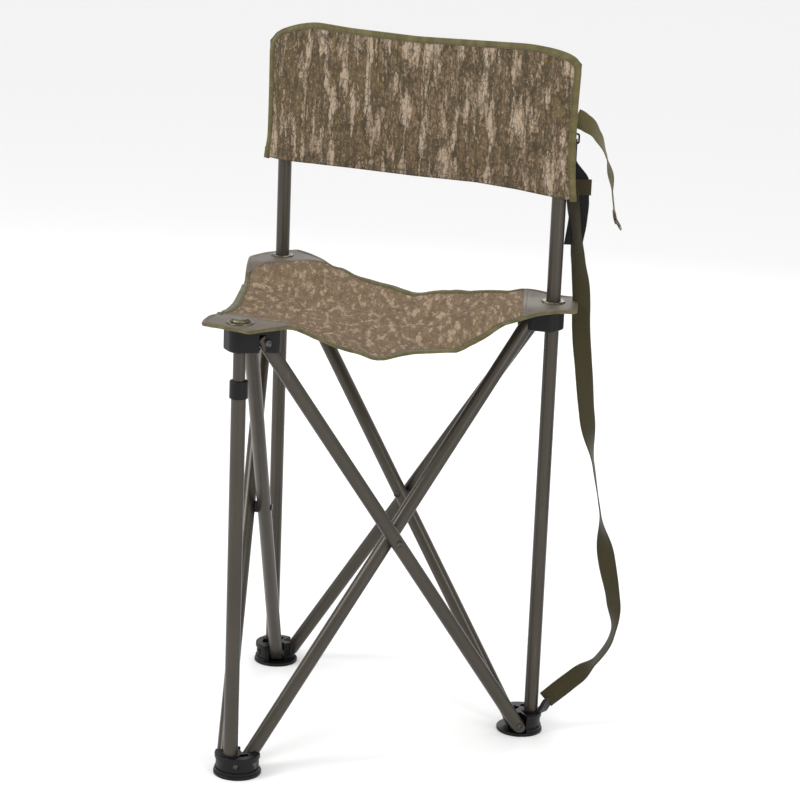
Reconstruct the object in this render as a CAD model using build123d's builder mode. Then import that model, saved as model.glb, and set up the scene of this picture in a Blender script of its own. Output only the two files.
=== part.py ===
from build123d import *

import os
from math import atan2, cos, degrees, hypot, radians, sin, sqrt, tan

# Folding three-leg stool with a sling seat and a fabric backrest.
# Three upright tubes stand in round feet. Between each two of them a pair of struts
# crosses like scissors, so the feet come together while the hubs rise up the legs.
# +Z is up, the sitter faces -Y and the origin is on the floor, under the middle of
# the stool's bounding box. All lengths are in millimetres.

os.makedirs("parts", exist_ok=True)

# ---------------------------------------------------------------- driving dimensions
TUBE_D = 19.0                # legs and struts, 3/4 inch steel tube
TUBE_WALL = 1.2
INNER_TUBE_D = 16.0          # upper part of the telescopic front leg
FRAME_Y = 57.24              # middle of the tripod, measured from the origin
FOOT_CIRCLE_R = 243.3        # middle of the tripod to the middle of each foot
LEG_OUT = 15.0               # leg axis, outward of the middle of its foot
FACE_OUT = 18.0              # where two faces' middle planes meet, outward of the foot's middle
STRUT_PLANE = 11.0           # each strut's plane, to either side of its face's middle plane
PIVOT_SETBACK = 30.5         # from where two faces meet to the nearest strut pivot
FOOT_PIVOT_Z = 16.0
HUB_PIVOT_Z = 583.0
SOLID_END = 14.0             # the struts are swaged solid this far from each pivot

FOOT_D = 63.0
FOOT_BASE_T = 4.5
FOOT_WALL_D = 60.0
FOOT_H = 28.5
FOOT_GROOVE_R = 28.4          # the wall is thinner between its rim and the base
FOOT_GROOVE_LOW_Z = 8.5
FOOT_GROOVE_TOP_Z = 22.5
FOOT_BOSS_R = 8.0             # round the leg screw the wall keeps its full thickness
FOOT_OPEN_AT = -15.0          # the wall stops here on the side that faces the tripod's middle
SOCKET_R = 12.9
SOCKET_H = 30.0
LEG_BOTTOM_Z = 6.5
LEG_SCREW_Z = 18.5
FOOT_RIVET_OUT = 16.2        # the inner strut's rivet reaches this far out of the face's plane
POCKET_FLOOR_Z = 10.0

HUB_BOTTOM_Z = 569.5
HUB_TOP_Z = 603.0
HUB_CHANNEL_TOP_Z = 593.4
HUB_WALL_OUT = 24.0          # outer face of the wall beside the outer strut
POST_TOP_Z = 922.0
COLLAR_BOTTOM_Z = 509.0
COLLAR_TOP_Z = 532.0
COLLAR_R = 11.9
LOWER_TUBE_TOP_Z = 526.0
UPPER_TUBE_BOTTOM_Z = 310.0
UPPER_TUBE_TOP_Z = 588.0

PIN_R = 3.0
PIN_HEAD_R = 4.6
PIN_HEAD_T = 1.5
SCREW_R = 2.0
SCREW_HEAD_R = 3.8
SCREW_HEAD_T = 2.2
RUNNING_GAP = 0.08           # radial gap round a hinge pin
OPEN_PIVOT_GAP = 0.3         # radial gap at the pivots that close the chain
SIDE_GAP = 0.4               # between a strut and the wall beside it
HEAD_GAP = 0.1               # between a strut and a rivet's head

SLING_T = 1.6
SLING_SAG = 50.0
SLING_FLAT_R = 212.0         # the sling lies flat outside this radius
PATCH_T = 1.2
PATCH_IN = 38.0              # the patch's inner edge, inward of the leg axis
SEAT_END_OUT = 31.0          # the seat's corner, beyond the leg axis
SEAT_END_HALF = 38.0
SEAT_EDGE_OUT = 14.0         # the middle of the seat's edge, beyond the line of leg axes
SEAT_CORNER_R = 15.0
BINDING_W = 9.0
BINDING_PROUD = 1.2
GROMMET_HOLE_R = 11.2
GROMMET_R = 15.8
BUTTON_HOLE_R = 3.2

BACK_HALF_W = 248.0
BACK_BOTTOM_Z = 746.0
BACK_TOP_Z = 937.0
BACK_T = 6.0
SLEEVE_R = 12.3
SLEEVE_BORE_R = 9.8
SLEEVE_TOP_Z = 925.0
BACK_BINDING_W = 10.0
BACK_BINDING_T = 8.4

STRAP_TUBE_R = 4.0
STRAP_BACK = 16.0            # the snap hook hangs this far behind the right post
WIRE_T = 2.4
D_RING_Z = 822.0
HOOK_Z = 813.5
HOOK_OUT = 15.0
HOOK_T = 5.0

# ---------------------------------------------------------------- worked-out dimensions
TUBE_R = TUBE_D / 2
LEG_R = FOOT_CIRCLE_R + LEG_OUT
FACE_LENGTH = sqrt(3) * (FOOT_CIRCLE_R + FACE_OUT)
FACE_IN_R = (FOOT_CIRCLE_R + FACE_OUT) / 2
PIVOT_X = FACE_LENGTH / 2 - PIVOT_SETBACK
RISE = HUB_PIVOT_Z - FOOT_PIVOT_Z
STRUT_L = hypot(2 * PIVOT_X, RISE)
MID_Z = (FOOT_PIVOT_Z + HUB_PIVOT_Z) / 2
STRUT_IN = STRUT_PLANE - TUBE_R - SIDE_GAP
STRUT_OUT = STRUT_PLANE + TUBE_R + SIDE_GAP
HEAD_AT = STRUT_PLANE + TUBE_R + HEAD_GAP
CHANNEL_START = PIVOT_SETBACK - TUBE_R - 0.7
SLING_TOP_Z = HUB_TOP_Z + SLING_T
PATCH_TOP_Z = SLING_TOP_Z + PATCH_T

CORNERS = {"front": -90.0, "rear_right": 30.0, "rear_left": 150.0}
FACES = {"front_right": -30.0, "rear": 90.0, "front_left": 210.0}
FACE_AFTER = {"front": "front_right", "rear_right": "rear", "rear_left": "front_left"}
FACE_BEFORE = {"front": "front_left", "rear_right": "front_right", "rear_left": "rear"}


def direction(angle):
    return Vector(cos(radians(angle)), sin(radians(angle)), 0)


def middle(z):
    return Vector(0, FRAME_Y, z)


def corner_plane(corner, z, out=0.0):
    """Level plane at a foot: x is outward from the tripod, y runs anticlockwise."""
    outward = direction(CORNERS[corner])
    origin = middle(z) + outward * (FOOT_CIRCLE_R + out)
    return Plane(origin=origin, x_dir=outward, z_dir=(0, 0, 1))


def leg_plane(corner, z):
    return corner_plane(corner, z, LEG_OUT)


def apex_plane(corner, side, z):
    """Level plane with x along the face after (side 1) or before (side -1) a corner."""
    along = direction(CORNERS[corner] + side * 150)
    return Plane(origin=corner_plane(corner, z, FACE_OUT).origin, x_dir=along, z_dir=(0, 0, 1))


def face_plane(face, shift=0.0):
    """Upright plane of a face: x runs along it, y is up and z points outward."""
    outward = direction(FACES[face])
    along = direction(FACES[face] + 90)
    return Plane(origin=middle(0) + outward * (FACE_IN_R + shift), x_dir=along, z_dir=outward)


def radial_plane(corner, shift=0.0):
    """Upright plane through a leg: x is outward, y is up, shift is anticlockwise."""
    outward = direction(CORNERS[corner])
    clockwise = direction(CORNERS[corner] - 90)
    origin = leg_plane(corner, 0).origin - clockwise * shift
    return Plane(origin=origin, x_dir=outward, z_dir=clockwise)


def save(builder, node):
    builder.part.label = node
    export_step(builder.part, f"parts/{node}.step")


def rod(start, axis, length, radius, head_r=0.0, head_t=0.0, rounding=0.0):
    """A pin, or the cutter for its hole: a shank from start along axis, then a head."""
    with BuildPart() as shape:
        with BuildSketch(Plane(origin=start, z_dir=axis)):
            Circle(radius)
        extrude(amount=length)
        if head_r:
            with BuildSketch(Plane(origin=start + axis * length, z_dir=axis)):
                Circle(head_r)
            extrude(amount=head_t)
        if rounding:
            end = shape.faces().sort_by(Axis(start, axis))[-1]
            fillet(end.edges(), radius=rounding)
    return shape.part


def channel(face, side, low, high, bottom, top):
    """Cutter for a strut's end: side -1 is the face's first corner, 1 its second."""
    length = 45.0
    centre_x = side * (FACE_LENGTH / 2 - CHANNEL_START - length / 2)
    with BuildPart() as cutter:
        with BuildSketch(face_plane(face, low)):
            with Locations((centre_x, (bottom + top) / 2)):
                Rectangle(length, top - bottom)
        extrude(amount=high - low)
    return cutter.part


# ---------------------------------------------------------------- feet and their fasteners
def foot_rivets(corner, cutter):
    """The two strut rivets of a foot, or the cutter for their holes."""
    after = FACE_AFTER[corner]
    before = FACE_BEFORE[corner]
    inner_tail = face_plane(after, -HEAD_AT).from_local_coords(Vector(-PIVOT_X, FOOT_PIVOT_Z, 0))
    outer_tail = face_plane(before, -6.0).from_local_coords(Vector(PIVOT_X, FOOT_PIVOT_Z, 0))
    inner_axis = direction(FACES[after])
    outer_axis = direction(FACES[before])
    shank = HEAD_AT + FOOT_RIVET_OUT - PIN_HEAD_T
    if cutter:
        inner = rod(inner_tail, inner_axis, shank, PIN_R, PIN_HEAD_R, 12.0)
        outer = rod(outer_tail, outer_axis, HEAD_AT + 6.0, PIN_R)
        return [inner, outer]
    inner = rod(inner_tail, inner_axis, shank, PIN_R, PIN_HEAD_R, PIN_HEAD_T, 0.8)
    tail = rod(inner_tail, -inner_axis, PIN_HEAD_T, PIN_HEAD_R, rounding=0.8)
    outer = rod(outer_tail, outer_axis, HEAD_AT + 6.0, PIN_R, PIN_HEAD_R, PIN_HEAD_T, 0.8)
    return [inner, tail, outer]


def leg_screw(corner, cutter):
    """The screw that holds a leg in its foot, square to the face after it."""
    axis = direction(FACES[FACE_AFTER[corner]])
    start = leg_plane(corner, LEG_SCREW_Z).origin + axis * 4.0
    if cutter:
        return rod(start, axis, 13.5, SCREW_R, SCREW_HEAD_R, 12.0)
    return rod(start, axis, 13.5, SCREW_R, SCREW_HEAD_R, SCREW_HEAD_T, 0.9)


for corner in CORNERS:
    with BuildPart() as foot:
        with BuildSketch(corner_plane(corner, 0)):
            Circle(FOOT_D / 2)
        extrude(amount=FOOT_BASE_T)
        fillet(foot.edges().group_by(Axis.Z)[-1], radius=1.2)
        chamfer(foot.edges().group_by(Axis.Z)[0], length=0.6)
        with BuildSketch(corner_plane(corner, FOOT_BASE_T / 2)):
            Circle(FOOT_WALL_D / 2)
        extrude(amount=FOOT_H - FOOT_BASE_T / 2)
        fillet(foot.edges().group_by(Axis.Z)[-1], radius=1.5)
        add(
            channel(FACE_AFTER[corner], -1, -STRUT_OUT - PIN_HEAD_T, -STRUT_IN, FOOT_BASE_T, 60),
            mode=Mode.SUBTRACT,
        )
        add(
            channel(FACE_BEFORE[corner], 1, STRUT_IN, 60, FOOT_BASE_T, 60),
            mode=Mode.SUBTRACT,
        )
        with BuildSketch(corner_plane(corner, FOOT_BASE_T)):
            with Locations((FOOT_OPEN_AT - 20, 0)):
                Rectangle(40, 80)
        extrude(amount=FOOT_H, mode=Mode.SUBTRACT)
        with BuildPart(mode=Mode.PRIVATE) as groove:
            with BuildSketch(corner_plane(corner, FOOT_GROOVE_LOW_Z)):
                Circle(FOOT_D)
                Circle(FOOT_GROOVE_R, mode=Mode.SUBTRACT)
            extrude(amount=FOOT_GROOVE_TOP_Z - FOOT_GROOVE_LOW_Z)
            screw_axis = direction(FACES[FACE_AFTER[corner]])
            boss = rod(leg_plane(corner, LEG_SCREW_Z).origin, screw_axis, 60, FOOT_BOSS_R)
            add(boss, mode=Mode.SUBTRACT)
        add(groove.part, mode=Mode.SUBTRACT)
        # Pockets beside the leg socket keep the moulding's walls about 3 mm thick.
        with BuildSketch(apex_plane(corner, 1, POCKET_FLOOR_Z)):
            with Locations((15.5, -6.8)):
                RectangleRounded(17, 8, 2)
        extrude(amount=FOOT_H, mode=Mode.SUBTRACT)
        with BuildSketch(apex_plane(corner, -1, POCKET_FLOOR_Z)):
            with Locations((11.5, 6.8)):
                RectangleRounded(11, 8, 2)
            with Locations((36.5, -6.5)):
                Circle(4.2)
        extrude(amount=FOOT_H, mode=Mode.SUBTRACT)
        with BuildSketch(leg_plane(corner, FOOT_BASE_T)):
            Circle(SOCKET_R)
        extrude(amount=SOCKET_H - FOOT_BASE_T)
        with BuildSketch(leg_plane(corner, LEG_BOTTOM_Z)):
            Circle(TUBE_R)
        extrude(amount=FOOT_H, mode=Mode.SUBTRACT)
        add(foot_rivets(corner, True), mode=Mode.SUBTRACT)
        add(leg_screw(corner, True), mode=Mode.SUBTRACT)
    save(foot, f"foot_{corner}")

    with BuildPart() as rivets:
        add(foot_rivets(corner, False))
    save(rivets, f"foot_rivets_{corner}")

    with BuildPart() as screw:
        add(leg_screw(corner, False))
    save(screw, f"leg_screw_{corner}")


# ---------------------------------------------------------------- upright tubes
def upright(corner, bottom, top, outer_d):
    """A leg tube with the hole for its foot screw where it has one."""
    with BuildPart() as tube:
        with BuildSketch(leg_plane(corner, bottom)):
            Circle(outer_d / 2)
            Circle(outer_d / 2 - TUBE_WALL, mode=Mode.SUBTRACT)
        extrude(amount=top - bottom)
        if bottom < LEG_SCREW_Z:
            add(leg_screw(corner, True), mode=Mode.SUBTRACT)
    return tube


save(upright("front", LEG_BOTTOM_Z, LOWER_TUBE_TOP_Z, TUBE_D), "front_leg_lower_tube")
save(upright("front", UPPER_TUBE_BOTTOM_Z, UPPER_TUBE_TOP_Z, INNER_TUBE_D), "front_leg_upper_tube")

for corner in ("rear_right", "rear_left"):
    save(upright(corner, LEG_BOTTOM_Z, POST_TOP_Z, TUBE_D), f"{corner}_post")

    with BuildPart() as cap:
        with BuildSketch(leg_plane(corner, POST_TOP_Z)):
            Circle(TUBE_R)
        extrude(amount=1.8)
        fillet(cap.edges().group_by(Axis.Z)[-1], radius=1.2)
        with BuildSketch(leg_plane(corner, POST_TOP_Z)):
            Circle(TUBE_R - TUBE_WALL)
        extrude(amount=-14.0)
    save(cap, f"{corner}_post_cap")

with BuildPart() as collar:
    with BuildSketch(leg_plane("front", COLLAR_BOTTOM_Z)):
        Circle(COLLAR_R)
    extrude(amount=COLLAR_TOP_Z - COLLAR_BOTTOM_Z)
    fillet(collar.edges().group_by(Axis.Z)[-1], radius=1.4)
    fillet(collar.edges().group_by(Axis.Z)[0], radius=0.8)
    with BuildSketch(leg_plane("front", COLLAR_BOTTOM_Z)):
        Circle(TUBE_R)
    extrude(amount=LOWER_TUBE_TOP_Z - COLLAR_BOTTOM_Z, mode=Mode.SUBTRACT)
    with BuildSketch(leg_plane("front", LOWER_TUBE_TOP_Z)):
        Circle(INNER_TUBE_D / 2 + RUNNING_GAP)
    extrude(amount=COLLAR_TOP_Z - LOWER_TUBE_TOP_Z, mode=Mode.SUBTRACT)
save(collar, "front_leg_collar")


# ---------------------------------------------------------------- struts
def strut(face, shift, rising, foot_r, mid_r, hub_r):
    """A strut with full-round ends. rising 1 climbs towards the face's second corner."""
    foot_x = -rising * PIVOT_X
    along = face_plane(face).x_dir * (rising * 2 * PIVOT_X / STRUT_L) + Vector(0, 0, RISE / STRUT_L)
    foot_end = face_plane(face, shift).from_local_coords(Vector(foot_x, FOOT_PIVOT_Z, 0))
    with BuildPart() as bar:
        with BuildSketch(face_plane(face, shift)):
            with Locations((0, MID_Z)):
                SlotCenterToCenter(STRUT_L, TUBE_D, rotation=degrees(atan2(RISE, rising * 2 * PIVOT_X)))
        extrude(amount=TUBE_R, both=True)
        with BuildSketch(Plane(origin=foot_end - along * TUBE_R, z_dir=along)):
            Circle(TUBE_R)
        extrude(amount=STRUT_L + TUBE_D, mode=Mode.INTERSECT)
        with BuildSketch(Plane(origin=foot_end + along * SOLID_END, z_dir=along)):
            Circle(TUBE_R - TUBE_WALL)
        extrude(amount=STRUT_L - 2 * SOLID_END, mode=Mode.SUBTRACT)
        with BuildSketch(face_plane(face, shift)):
            with Locations((foot_x, FOOT_PIVOT_Z)):
                Circle(foot_r)
            with Locations((0, MID_Z)):
                Circle(mid_r)
            with Locations((-foot_x, HUB_PIVOT_Z)):
                Circle(hub_r)
        extrude(amount=TUBE_R + 1, both=True, mode=Mode.SUBTRACT)
    return bar


HINGE_R = PIN_R + RUNNING_GAP
OPEN_R = PIN_R + OPEN_PIVOT_GAP
# Each face's middle rivet is fast in one strut and turns in the other.
STRUTS = {
    "strut_front_right_outer": ("front_right", STRUT_PLANE, -1, HINGE_R, PIN_R, HINGE_R),
    "strut_front_right_inner": ("front_right", -STRUT_PLANE, 1, HINGE_R, HINGE_R, HINGE_R),
    "strut_rear_outer": ("rear", STRUT_PLANE, -1, HINGE_R, HINGE_R, OPEN_R),
    "strut_rear_inner": ("rear", -STRUT_PLANE, 1, HINGE_R, PIN_R, HINGE_R),
    "strut_front_left_outer": ("front_left", STRUT_PLANE, -1, OPEN_R, HINGE_R, OPEN_R),
    "strut_front_left_inner": ("front_left", -STRUT_PLANE, 1, HINGE_R, PIN_R, OPEN_R),
}
for node, size in STRUTS.items():
    save(strut(*size), node)

for face, fast_side in {"front_right": 1, "rear": -1, "front_left": -1}.items():
    out = direction(FACES[face])
    tail = face_plane(face, -HEAD_AT).from_local_coords(Vector(0, MID_Z, 0))
    with BuildPart() as rivet:
        add(rod(tail, out, 2 * HEAD_AT, PIN_R, PIN_HEAD_R, PIN_HEAD_T, 0.8))
        add(rod(tail, -out, PIN_HEAD_T, PIN_HEAD_R, rounding=0.8))
    save(rivet, f"mid_rivet_{face}")

    # The spacer is saddled onto the strut that the rivet is fast in.
    fast_tilt = -fast_side
    along = face_plane(face).x_dir * (fast_tilt * 2 * PIVOT_X / STRUT_L) + Vector(0, 0, RISE / STRUT_L)
    saddle_mid = face_plane(face, fast_side * STRUT_PLANE).from_local_coords(Vector(0, MID_Z, 0))
    with BuildPart() as spacer:
        with BuildSketch(face_plane(face, -1.4 if fast_side > 0 else -5.0)):
            with Locations((0, MID_Z)):
                Circle(8.0)
                Circle(PIN_R, mode=Mode.SUBTRACT)
        extrude(amount=6.4)
        with BuildSketch(Plane(origin=saddle_mid - along * 30, z_dir=along)):
            Circle(TUBE_R)
        extrude(amount=60, mode=Mode.SUBTRACT)
    save(spacer, f"mid_spacer_{face}")


# ---------------------------------------------------------------- hubs and their fasteners
def hub_rivets(corner, cutter):
    """The two strut rivets of a hub, or the cutter for their holes."""
    after = FACE_AFTER[corner]
    before = FACE_BEFORE[corner]
    outer_tail = face_plane(after, -4.0).from_local_coords(Vector(-PIVOT_X, HUB_PIVOT_Z, 0))
    inner_tail = face_plane(before, -STRUT_OUT - 1.8).from_local_coords(
        Vector(PIVOT_X, HUB_PIVOT_Z, 0)
    )
    outer_axis = direction(FACES[after])
    inner_axis = direction(FACES[before])
    inner = rod(inner_tail, inner_axis, STRUT_OUT + 8.0, PIN_R)
    if cutter:
        return [inner, rod(outer_tail, outer_axis, HUB_WALL_OUT + 4.0, PIN_R)]
    outer = rod(outer_tail, outer_axis, HUB_WALL_OUT + 4.0, PIN_R, PIN_HEAD_R, PIN_HEAD_T, 0.8)
    return [inner, outer]


for corner in CORNERS:
    with BuildPart() as hub:
        with BuildSketch(corner_plane(corner, HUB_BOTTOM_Z)):
            with Locations((LEG_OUT, 0)):
                Circle(15.5)
            with Locations((11, -13)):
                Circle(12.5)
            with Locations((-10.0, 34.7)):
                Circle(8.0)
            with Locations((-17.5, 22.0)):
                Circle(8.0)
            with Locations((-22.0, -6.5)):
                Circle(9.0)
            with Locations((-9.0, -13.5)):
                Circle(8.0)
            make_hull()
        extrude(amount=HUB_TOP_Z - HUB_BOTTOM_Z)
        fillet(hub.edges().group_by(Axis.Z)[0], radius=2.5)
        fillet(hub.edges().group_by(Axis.Z)[-1], radius=1.0)
        add(
            channel(FACE_AFTER[corner], -1, STRUT_IN, STRUT_OUT, HUB_BOTTOM_Z - 5, HUB_CHANNEL_TOP_Z),
            mode=Mode.SUBTRACT,
        )
        add(
            channel(FACE_BEFORE[corner], 1, -STRUT_OUT, -STRUT_IN, HUB_BOTTOM_Z - 5, HUB_CHANNEL_TOP_Z),
            mode=Mode.SUBTRACT,
        )
        add(hub_rivets(corner, True), mode=Mode.SUBTRACT)
        with BuildSketch(leg_plane(corner, HUB_BOTTOM_Z)):
            Circle(INNER_TUBE_D / 2 if corner == "front" else TUBE_R + OPEN_PIVOT_GAP)
        extrude(
            amount=(UPPER_TUBE_TOP_Z if corner == "front" else HUB_TOP_Z) - HUB_BOTTOM_Z,
            mode=Mode.SUBTRACT,
        )
        if corner == "front":
            with BuildSketch(leg_plane(corner, HUB_TOP_Z - 12)):
                Circle(PIN_R)
            extrude(amount=12, mode=Mode.SUBTRACT)
    save(hub, f"hub_{corner}")

    with BuildPart() as rivets:
        add(hub_rivets(corner, False))
    save(rivets, f"hub_rivets_{corner}")


# ---------------------------------------------------------------- seat
def seat_point(corner, out, anticlockwise):
    return corner_plane(corner, 0).from_local_coords(Vector(out, anticlockwise, 0))


def dish(thickness, lift):
    """A sheet of even height that is flat at the rim and dips towards the middle."""
    low = HUB_TOP_Z + lift
    with BuildPart() as sheet:
        with BuildSketch(Plane.XZ.offset(-FRAME_Y)):
            with BuildLine():
                lower = Spline(
                    (SLING_FLAT_R, low), (0, low - SLING_SAG), tangents=((-1, 0), (-1, 0))
                )
                Line(lower @ 1, (0, low - SLING_SAG + thickness))
                Spline(
                    (0, low - SLING_SAG + thickness),
                    (SLING_FLAT_R, low + thickness),
                    tangents=((1, 0), (1, 0)),
                )
                Line((SLING_FLAT_R, low + thickness), (330, low + thickness))
                Line((330, low + thickness), (330, low))
                Line((330, low), (SLING_FLAT_R, low))
            make_face()
        revolve(axis=Axis((0, FRAME_Y, 0), (0, 0, 1)))
    return sheet.part


# The sling's plan has a blunt end over each leg and hollow edges between them.
with BuildSketch() as seat_plan:
    with BuildLine():
        for corner, following in (
            ("front", "rear_right"),
            ("rear_right", "rear_left"),
            ("rear_left", "front"),
        ):
            seat_end = LEG_OUT + SEAT_END_OUT
            first = seat_point(corner, seat_end, -SEAT_END_HALF)
            last = seat_point(corner, seat_end, SEAT_END_HALF)
            edge_out = direction(FACES[FACE_AFTER[corner]]) * (LEG_R / 2 + SEAT_EDGE_OUT)
            Line(first, last)
            ThreePointArc(
                last, middle(0) + edge_out, seat_point(following, seat_end, -SEAT_END_HALF)
            )
    make_face()
    fillet(seat_plan.vertices(), radius=SEAT_CORNER_R)

with BuildSketch() as seat_rim:
    add(offset(seat_plan.sketch, amount=BINDING_PROUD, mode=Mode.PRIVATE))
    add(offset(seat_plan.sketch, amount=-BINDING_W, mode=Mode.PRIVATE), mode=Mode.SUBTRACT)

with BuildPart() as sling:
    add(dish(SLING_T, 0))
    with BuildSketch(Plane.XY.offset(HUB_TOP_Z - SLING_SAG - 5)):
        add(seat_plan.sketch)
    extrude(amount=SLING_SAG + 20, mode=Mode.INTERSECT)
    for corner in CORNERS:
        with BuildSketch(leg_plane(corner, HUB_TOP_Z - 1)):
            Circle(BUTTON_HOLE_R if corner == "front" else GROMMET_HOLE_R)
        extrude(amount=5, mode=Mode.SUBTRACT)
save(sling, "seat_sling")

with BuildPart() as binding:
    add(dish(SLING_T + 2 * BINDING_PROUD, -BINDING_PROUD))
    with BuildSketch(Plane.XY.offset(HUB_TOP_Z - SLING_SAG - 5)):
        add(seat_rim.sketch)
    extrude(amount=SLING_SAG + 20, mode=Mode.INTERSECT)
    add(sling.part, mode=Mode.SUBTRACT)
save(binding, "seat_binding")

for corner in CORNERS:
    with BuildPart() as patch:
        with BuildSketch(Plane.XY.offset(SLING_TOP_Z)):
            add(offset(seat_plan.sketch, amount=-BINDING_W - 0.2, mode=Mode.PRIVATE))
            with Locations(leg_plane(corner, 0).location * Location((-PATCH_IN + 100, 0, 0))):
                Rectangle(200, 200, mode=Mode.INTERSECT)
        extrude(amount=PATCH_T)
        with BuildSketch(leg_plane(corner, SLING_TOP_Z)):
            Circle(BUTTON_HOLE_R if corner == "front" else GROMMET_HOLE_R)
        extrude(amount=PATCH_T, mode=Mode.SUBTRACT)
    save(patch, f"seat_patch_{corner}")

for corner in ("rear_right", "rear_left"):
    with BuildPart() as grommet:
        with BuildSketch(leg_plane(corner, HUB_TOP_Z)):
            Circle(GROMMET_HOLE_R - 0.2)
        extrude(amount=PATCH_TOP_Z - HUB_TOP_Z)
        with BuildSketch(leg_plane(corner, PATCH_TOP_Z)):
            Circle(GROMMET_R)
        extrude(amount=2.4)
        fillet(grommet.edges().group_by(Axis.Z)[-1], radius=1.8)
        with BuildSketch(leg_plane(corner, HUB_TOP_Z)):
            Circle(TUBE_R + OPEN_PIVOT_GAP)
        extrude(amount=10, mode=Mode.SUBTRACT)
        fillet(grommet.edges().group_by(Axis.Z)[-1], radius=0.5)
    save(grommet, f"seat_grommet_{corner}")

with BuildPart() as button:
    with BuildSketch(leg_plane("front", HUB_TOP_Z - 11)):
        Circle(PIN_R)
    extrude(amount=PATCH_TOP_Z - HUB_TOP_Z + 11)
    with BuildSketch(leg_plane("front", PATCH_TOP_Z)):
        Circle(17.5)
    extrude(amount=1.6)
    fillet(button.edges().group_by(Axis.Z)[-1], radius=1.2)
    with BuildSketch(leg_plane("front", PATCH_TOP_Z + 1.0)):
        Circle(13.0)
    extrude(amount=5.0)
    fillet(button.edges().group_by(Axis.Z)[-1], radius=3.6)
save(button, "seat_button_front")

# ---------------------------------------------------------------- backrest
POST_X = LEG_R * cos(radians(30))
BACK_Y = FRAME_Y + LEG_R / 2

with BuildPart() as cover:
    with BuildSketch(Plane.XZ.offset(-BACK_Y)):
        with Locations((0, (BACK_BOTTOM_Z + BACK_TOP_Z) / 2)):
            Rectangle(2 * BACK_HALF_W, BACK_TOP_Z - BACK_BOTTOM_Z)
        fillet(vertices().group_by(Axis.Y)[-1], radius=12)
    extrude(amount=BACK_T / 2, both=True)
    with BuildSketch(Plane.XY.offset(BACK_BOTTOM_Z)):
        with Locations((-POST_X, BACK_Y), (POST_X, BACK_Y)):
            Circle(SLEEVE_R)
    extrude(amount=SLEEVE_TOP_Z - BACK_BOTTOM_Z)
    with BuildSketch(Plane.XY.offset(BACK_BOTTOM_Z)):
        with Locations((-POST_X, BACK_Y), (POST_X, BACK_Y)):
            Circle(SLEEVE_BORE_R)
    extrude(amount=POST_TOP_Z + 2.0 - BACK_BOTTOM_Z, mode=Mode.SUBTRACT)
save(cover, "backrest_cover")

with BuildPart() as back_binding:
    with BuildSketch(Plane.XZ.offset(-BACK_Y)):
        with Locations((0, (BACK_BOTTOM_Z + BACK_TOP_Z) / 2)):
            Rectangle(2 * BACK_HALF_W + 2, BACK_TOP_Z - BACK_BOTTOM_Z + 2)
        fillet(vertices().group_by(Axis.Y)[-1], radius=13)
        with Locations((0, (BACK_BOTTOM_Z + BACK_TOP_Z) / 2 - BACK_BINDING_W)):
            Rectangle(
                2 * (BACK_HALF_W - BACK_BINDING_W),
                BACK_TOP_Z - BACK_BOTTOM_Z + 4,
                mode=Mode.SUBTRACT,
            )
    extrude(amount=BACK_BINDING_T / 2, both=True)
    add(cover.part, mode=Mode.SUBTRACT)
save(back_binding, "backrest_binding")

# ---------------------------------------------------------------- straps and their hardware
def rear_point(out, back, z):
    """A point beside the right rear post: out from the tripod, back behind the post."""
    return leg_plane("rear_right", z).from_local_coords(Vector(out, back, 0))


def strap_tube(points, radius):
    """A plain round tube along a strap's route: straight runs joined by tangent arcs."""
    arcs = []
    for before, here, after in zip(points, points[1:], points[2:]):
        turn = radians((here - before).get_angle(after - here))
        shorter = min((here - before).length, (after - here).length)
        arcs.append(0.45 * shorter / tan(turn / 2))
    with BuildPart() as tube:
        with BuildLine() as route:
            FilletPolyline(*points, radius=arcs)
        with BuildSketch(Plane(origin=points[0], z_dir=points[1] - points[0])):
            Circle(radius)
        sweep()
    print("route", round(sum(edge.length for edge in route.edges())), "radii", [round(arc) for arc in arcs])
    return tube


# The carry strap is sewn behind the backrest's edge and ends in the loop on the foot.
CARRY_STRAP = [
    rear_point(14, 9.5, 768),
    rear_point(19, 9.5, 733),
    rear_point(25, 9, 700),
    rear_point(29, 8, 664),
    rear_point(37, 7, 620),
    rear_point(38, 6, 570),
    rear_point(46, 5, 512),
    rear_point(53, 4, 450),
    rear_point(66, 3, 385),
    rear_point(79, 2, 318),
    rear_point(91, 1, 252),
    rear_point(105, 0, 195),
    rear_point(109, -1, 145),
    rear_point(87, -1, 107),
    rear_point(60, 0, 84),
    rear_point(32, 0, 50),
]
# The closing strap is sewn behind the backrest and carries a wire loop.
HOOK_STRAP = [
    rear_point(16.2, 12, 850),
    rear_point(31, 12, 846),
    rear_point(47, 11, 831),
    rear_point(59, 10, 806),
    rear_point(66, 9, 778),
    rear_point(70, 9, 750),
    rear_point(74.2, 9, 723),
]
save(strap_tube(CARRY_STRAP, STRAP_TUBE_R), "carry_strap")
save(strap_tube(HOOK_STRAP, STRAP_TUBE_R), "hook_strap")

REAR_OUT = direction(CORNERS["rear_right"])
REAR_ROUND = direction(CORNERS["rear_right"] + 90)
UP = Vector(0, 0, 1)


def flat_fitting_plane(back):
    """Upright plane behind the right post: x is out from the tripod, y is up."""
    return Plane(origin=rear_point(0, back, 0), x_dir=REAR_OUT, z_dir=-REAR_ROUND)


with BuildPart() as tab:
    with BuildSketch(flat_fitting_plane(14.6)):
        with Locations((3.5, 847.5)):
            Rectangle(19, 36)
    extrude(amount=3.4)
    add(cover.part, mode=Mode.SUBTRACT)
save(tab, "d_ring_tab")

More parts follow.
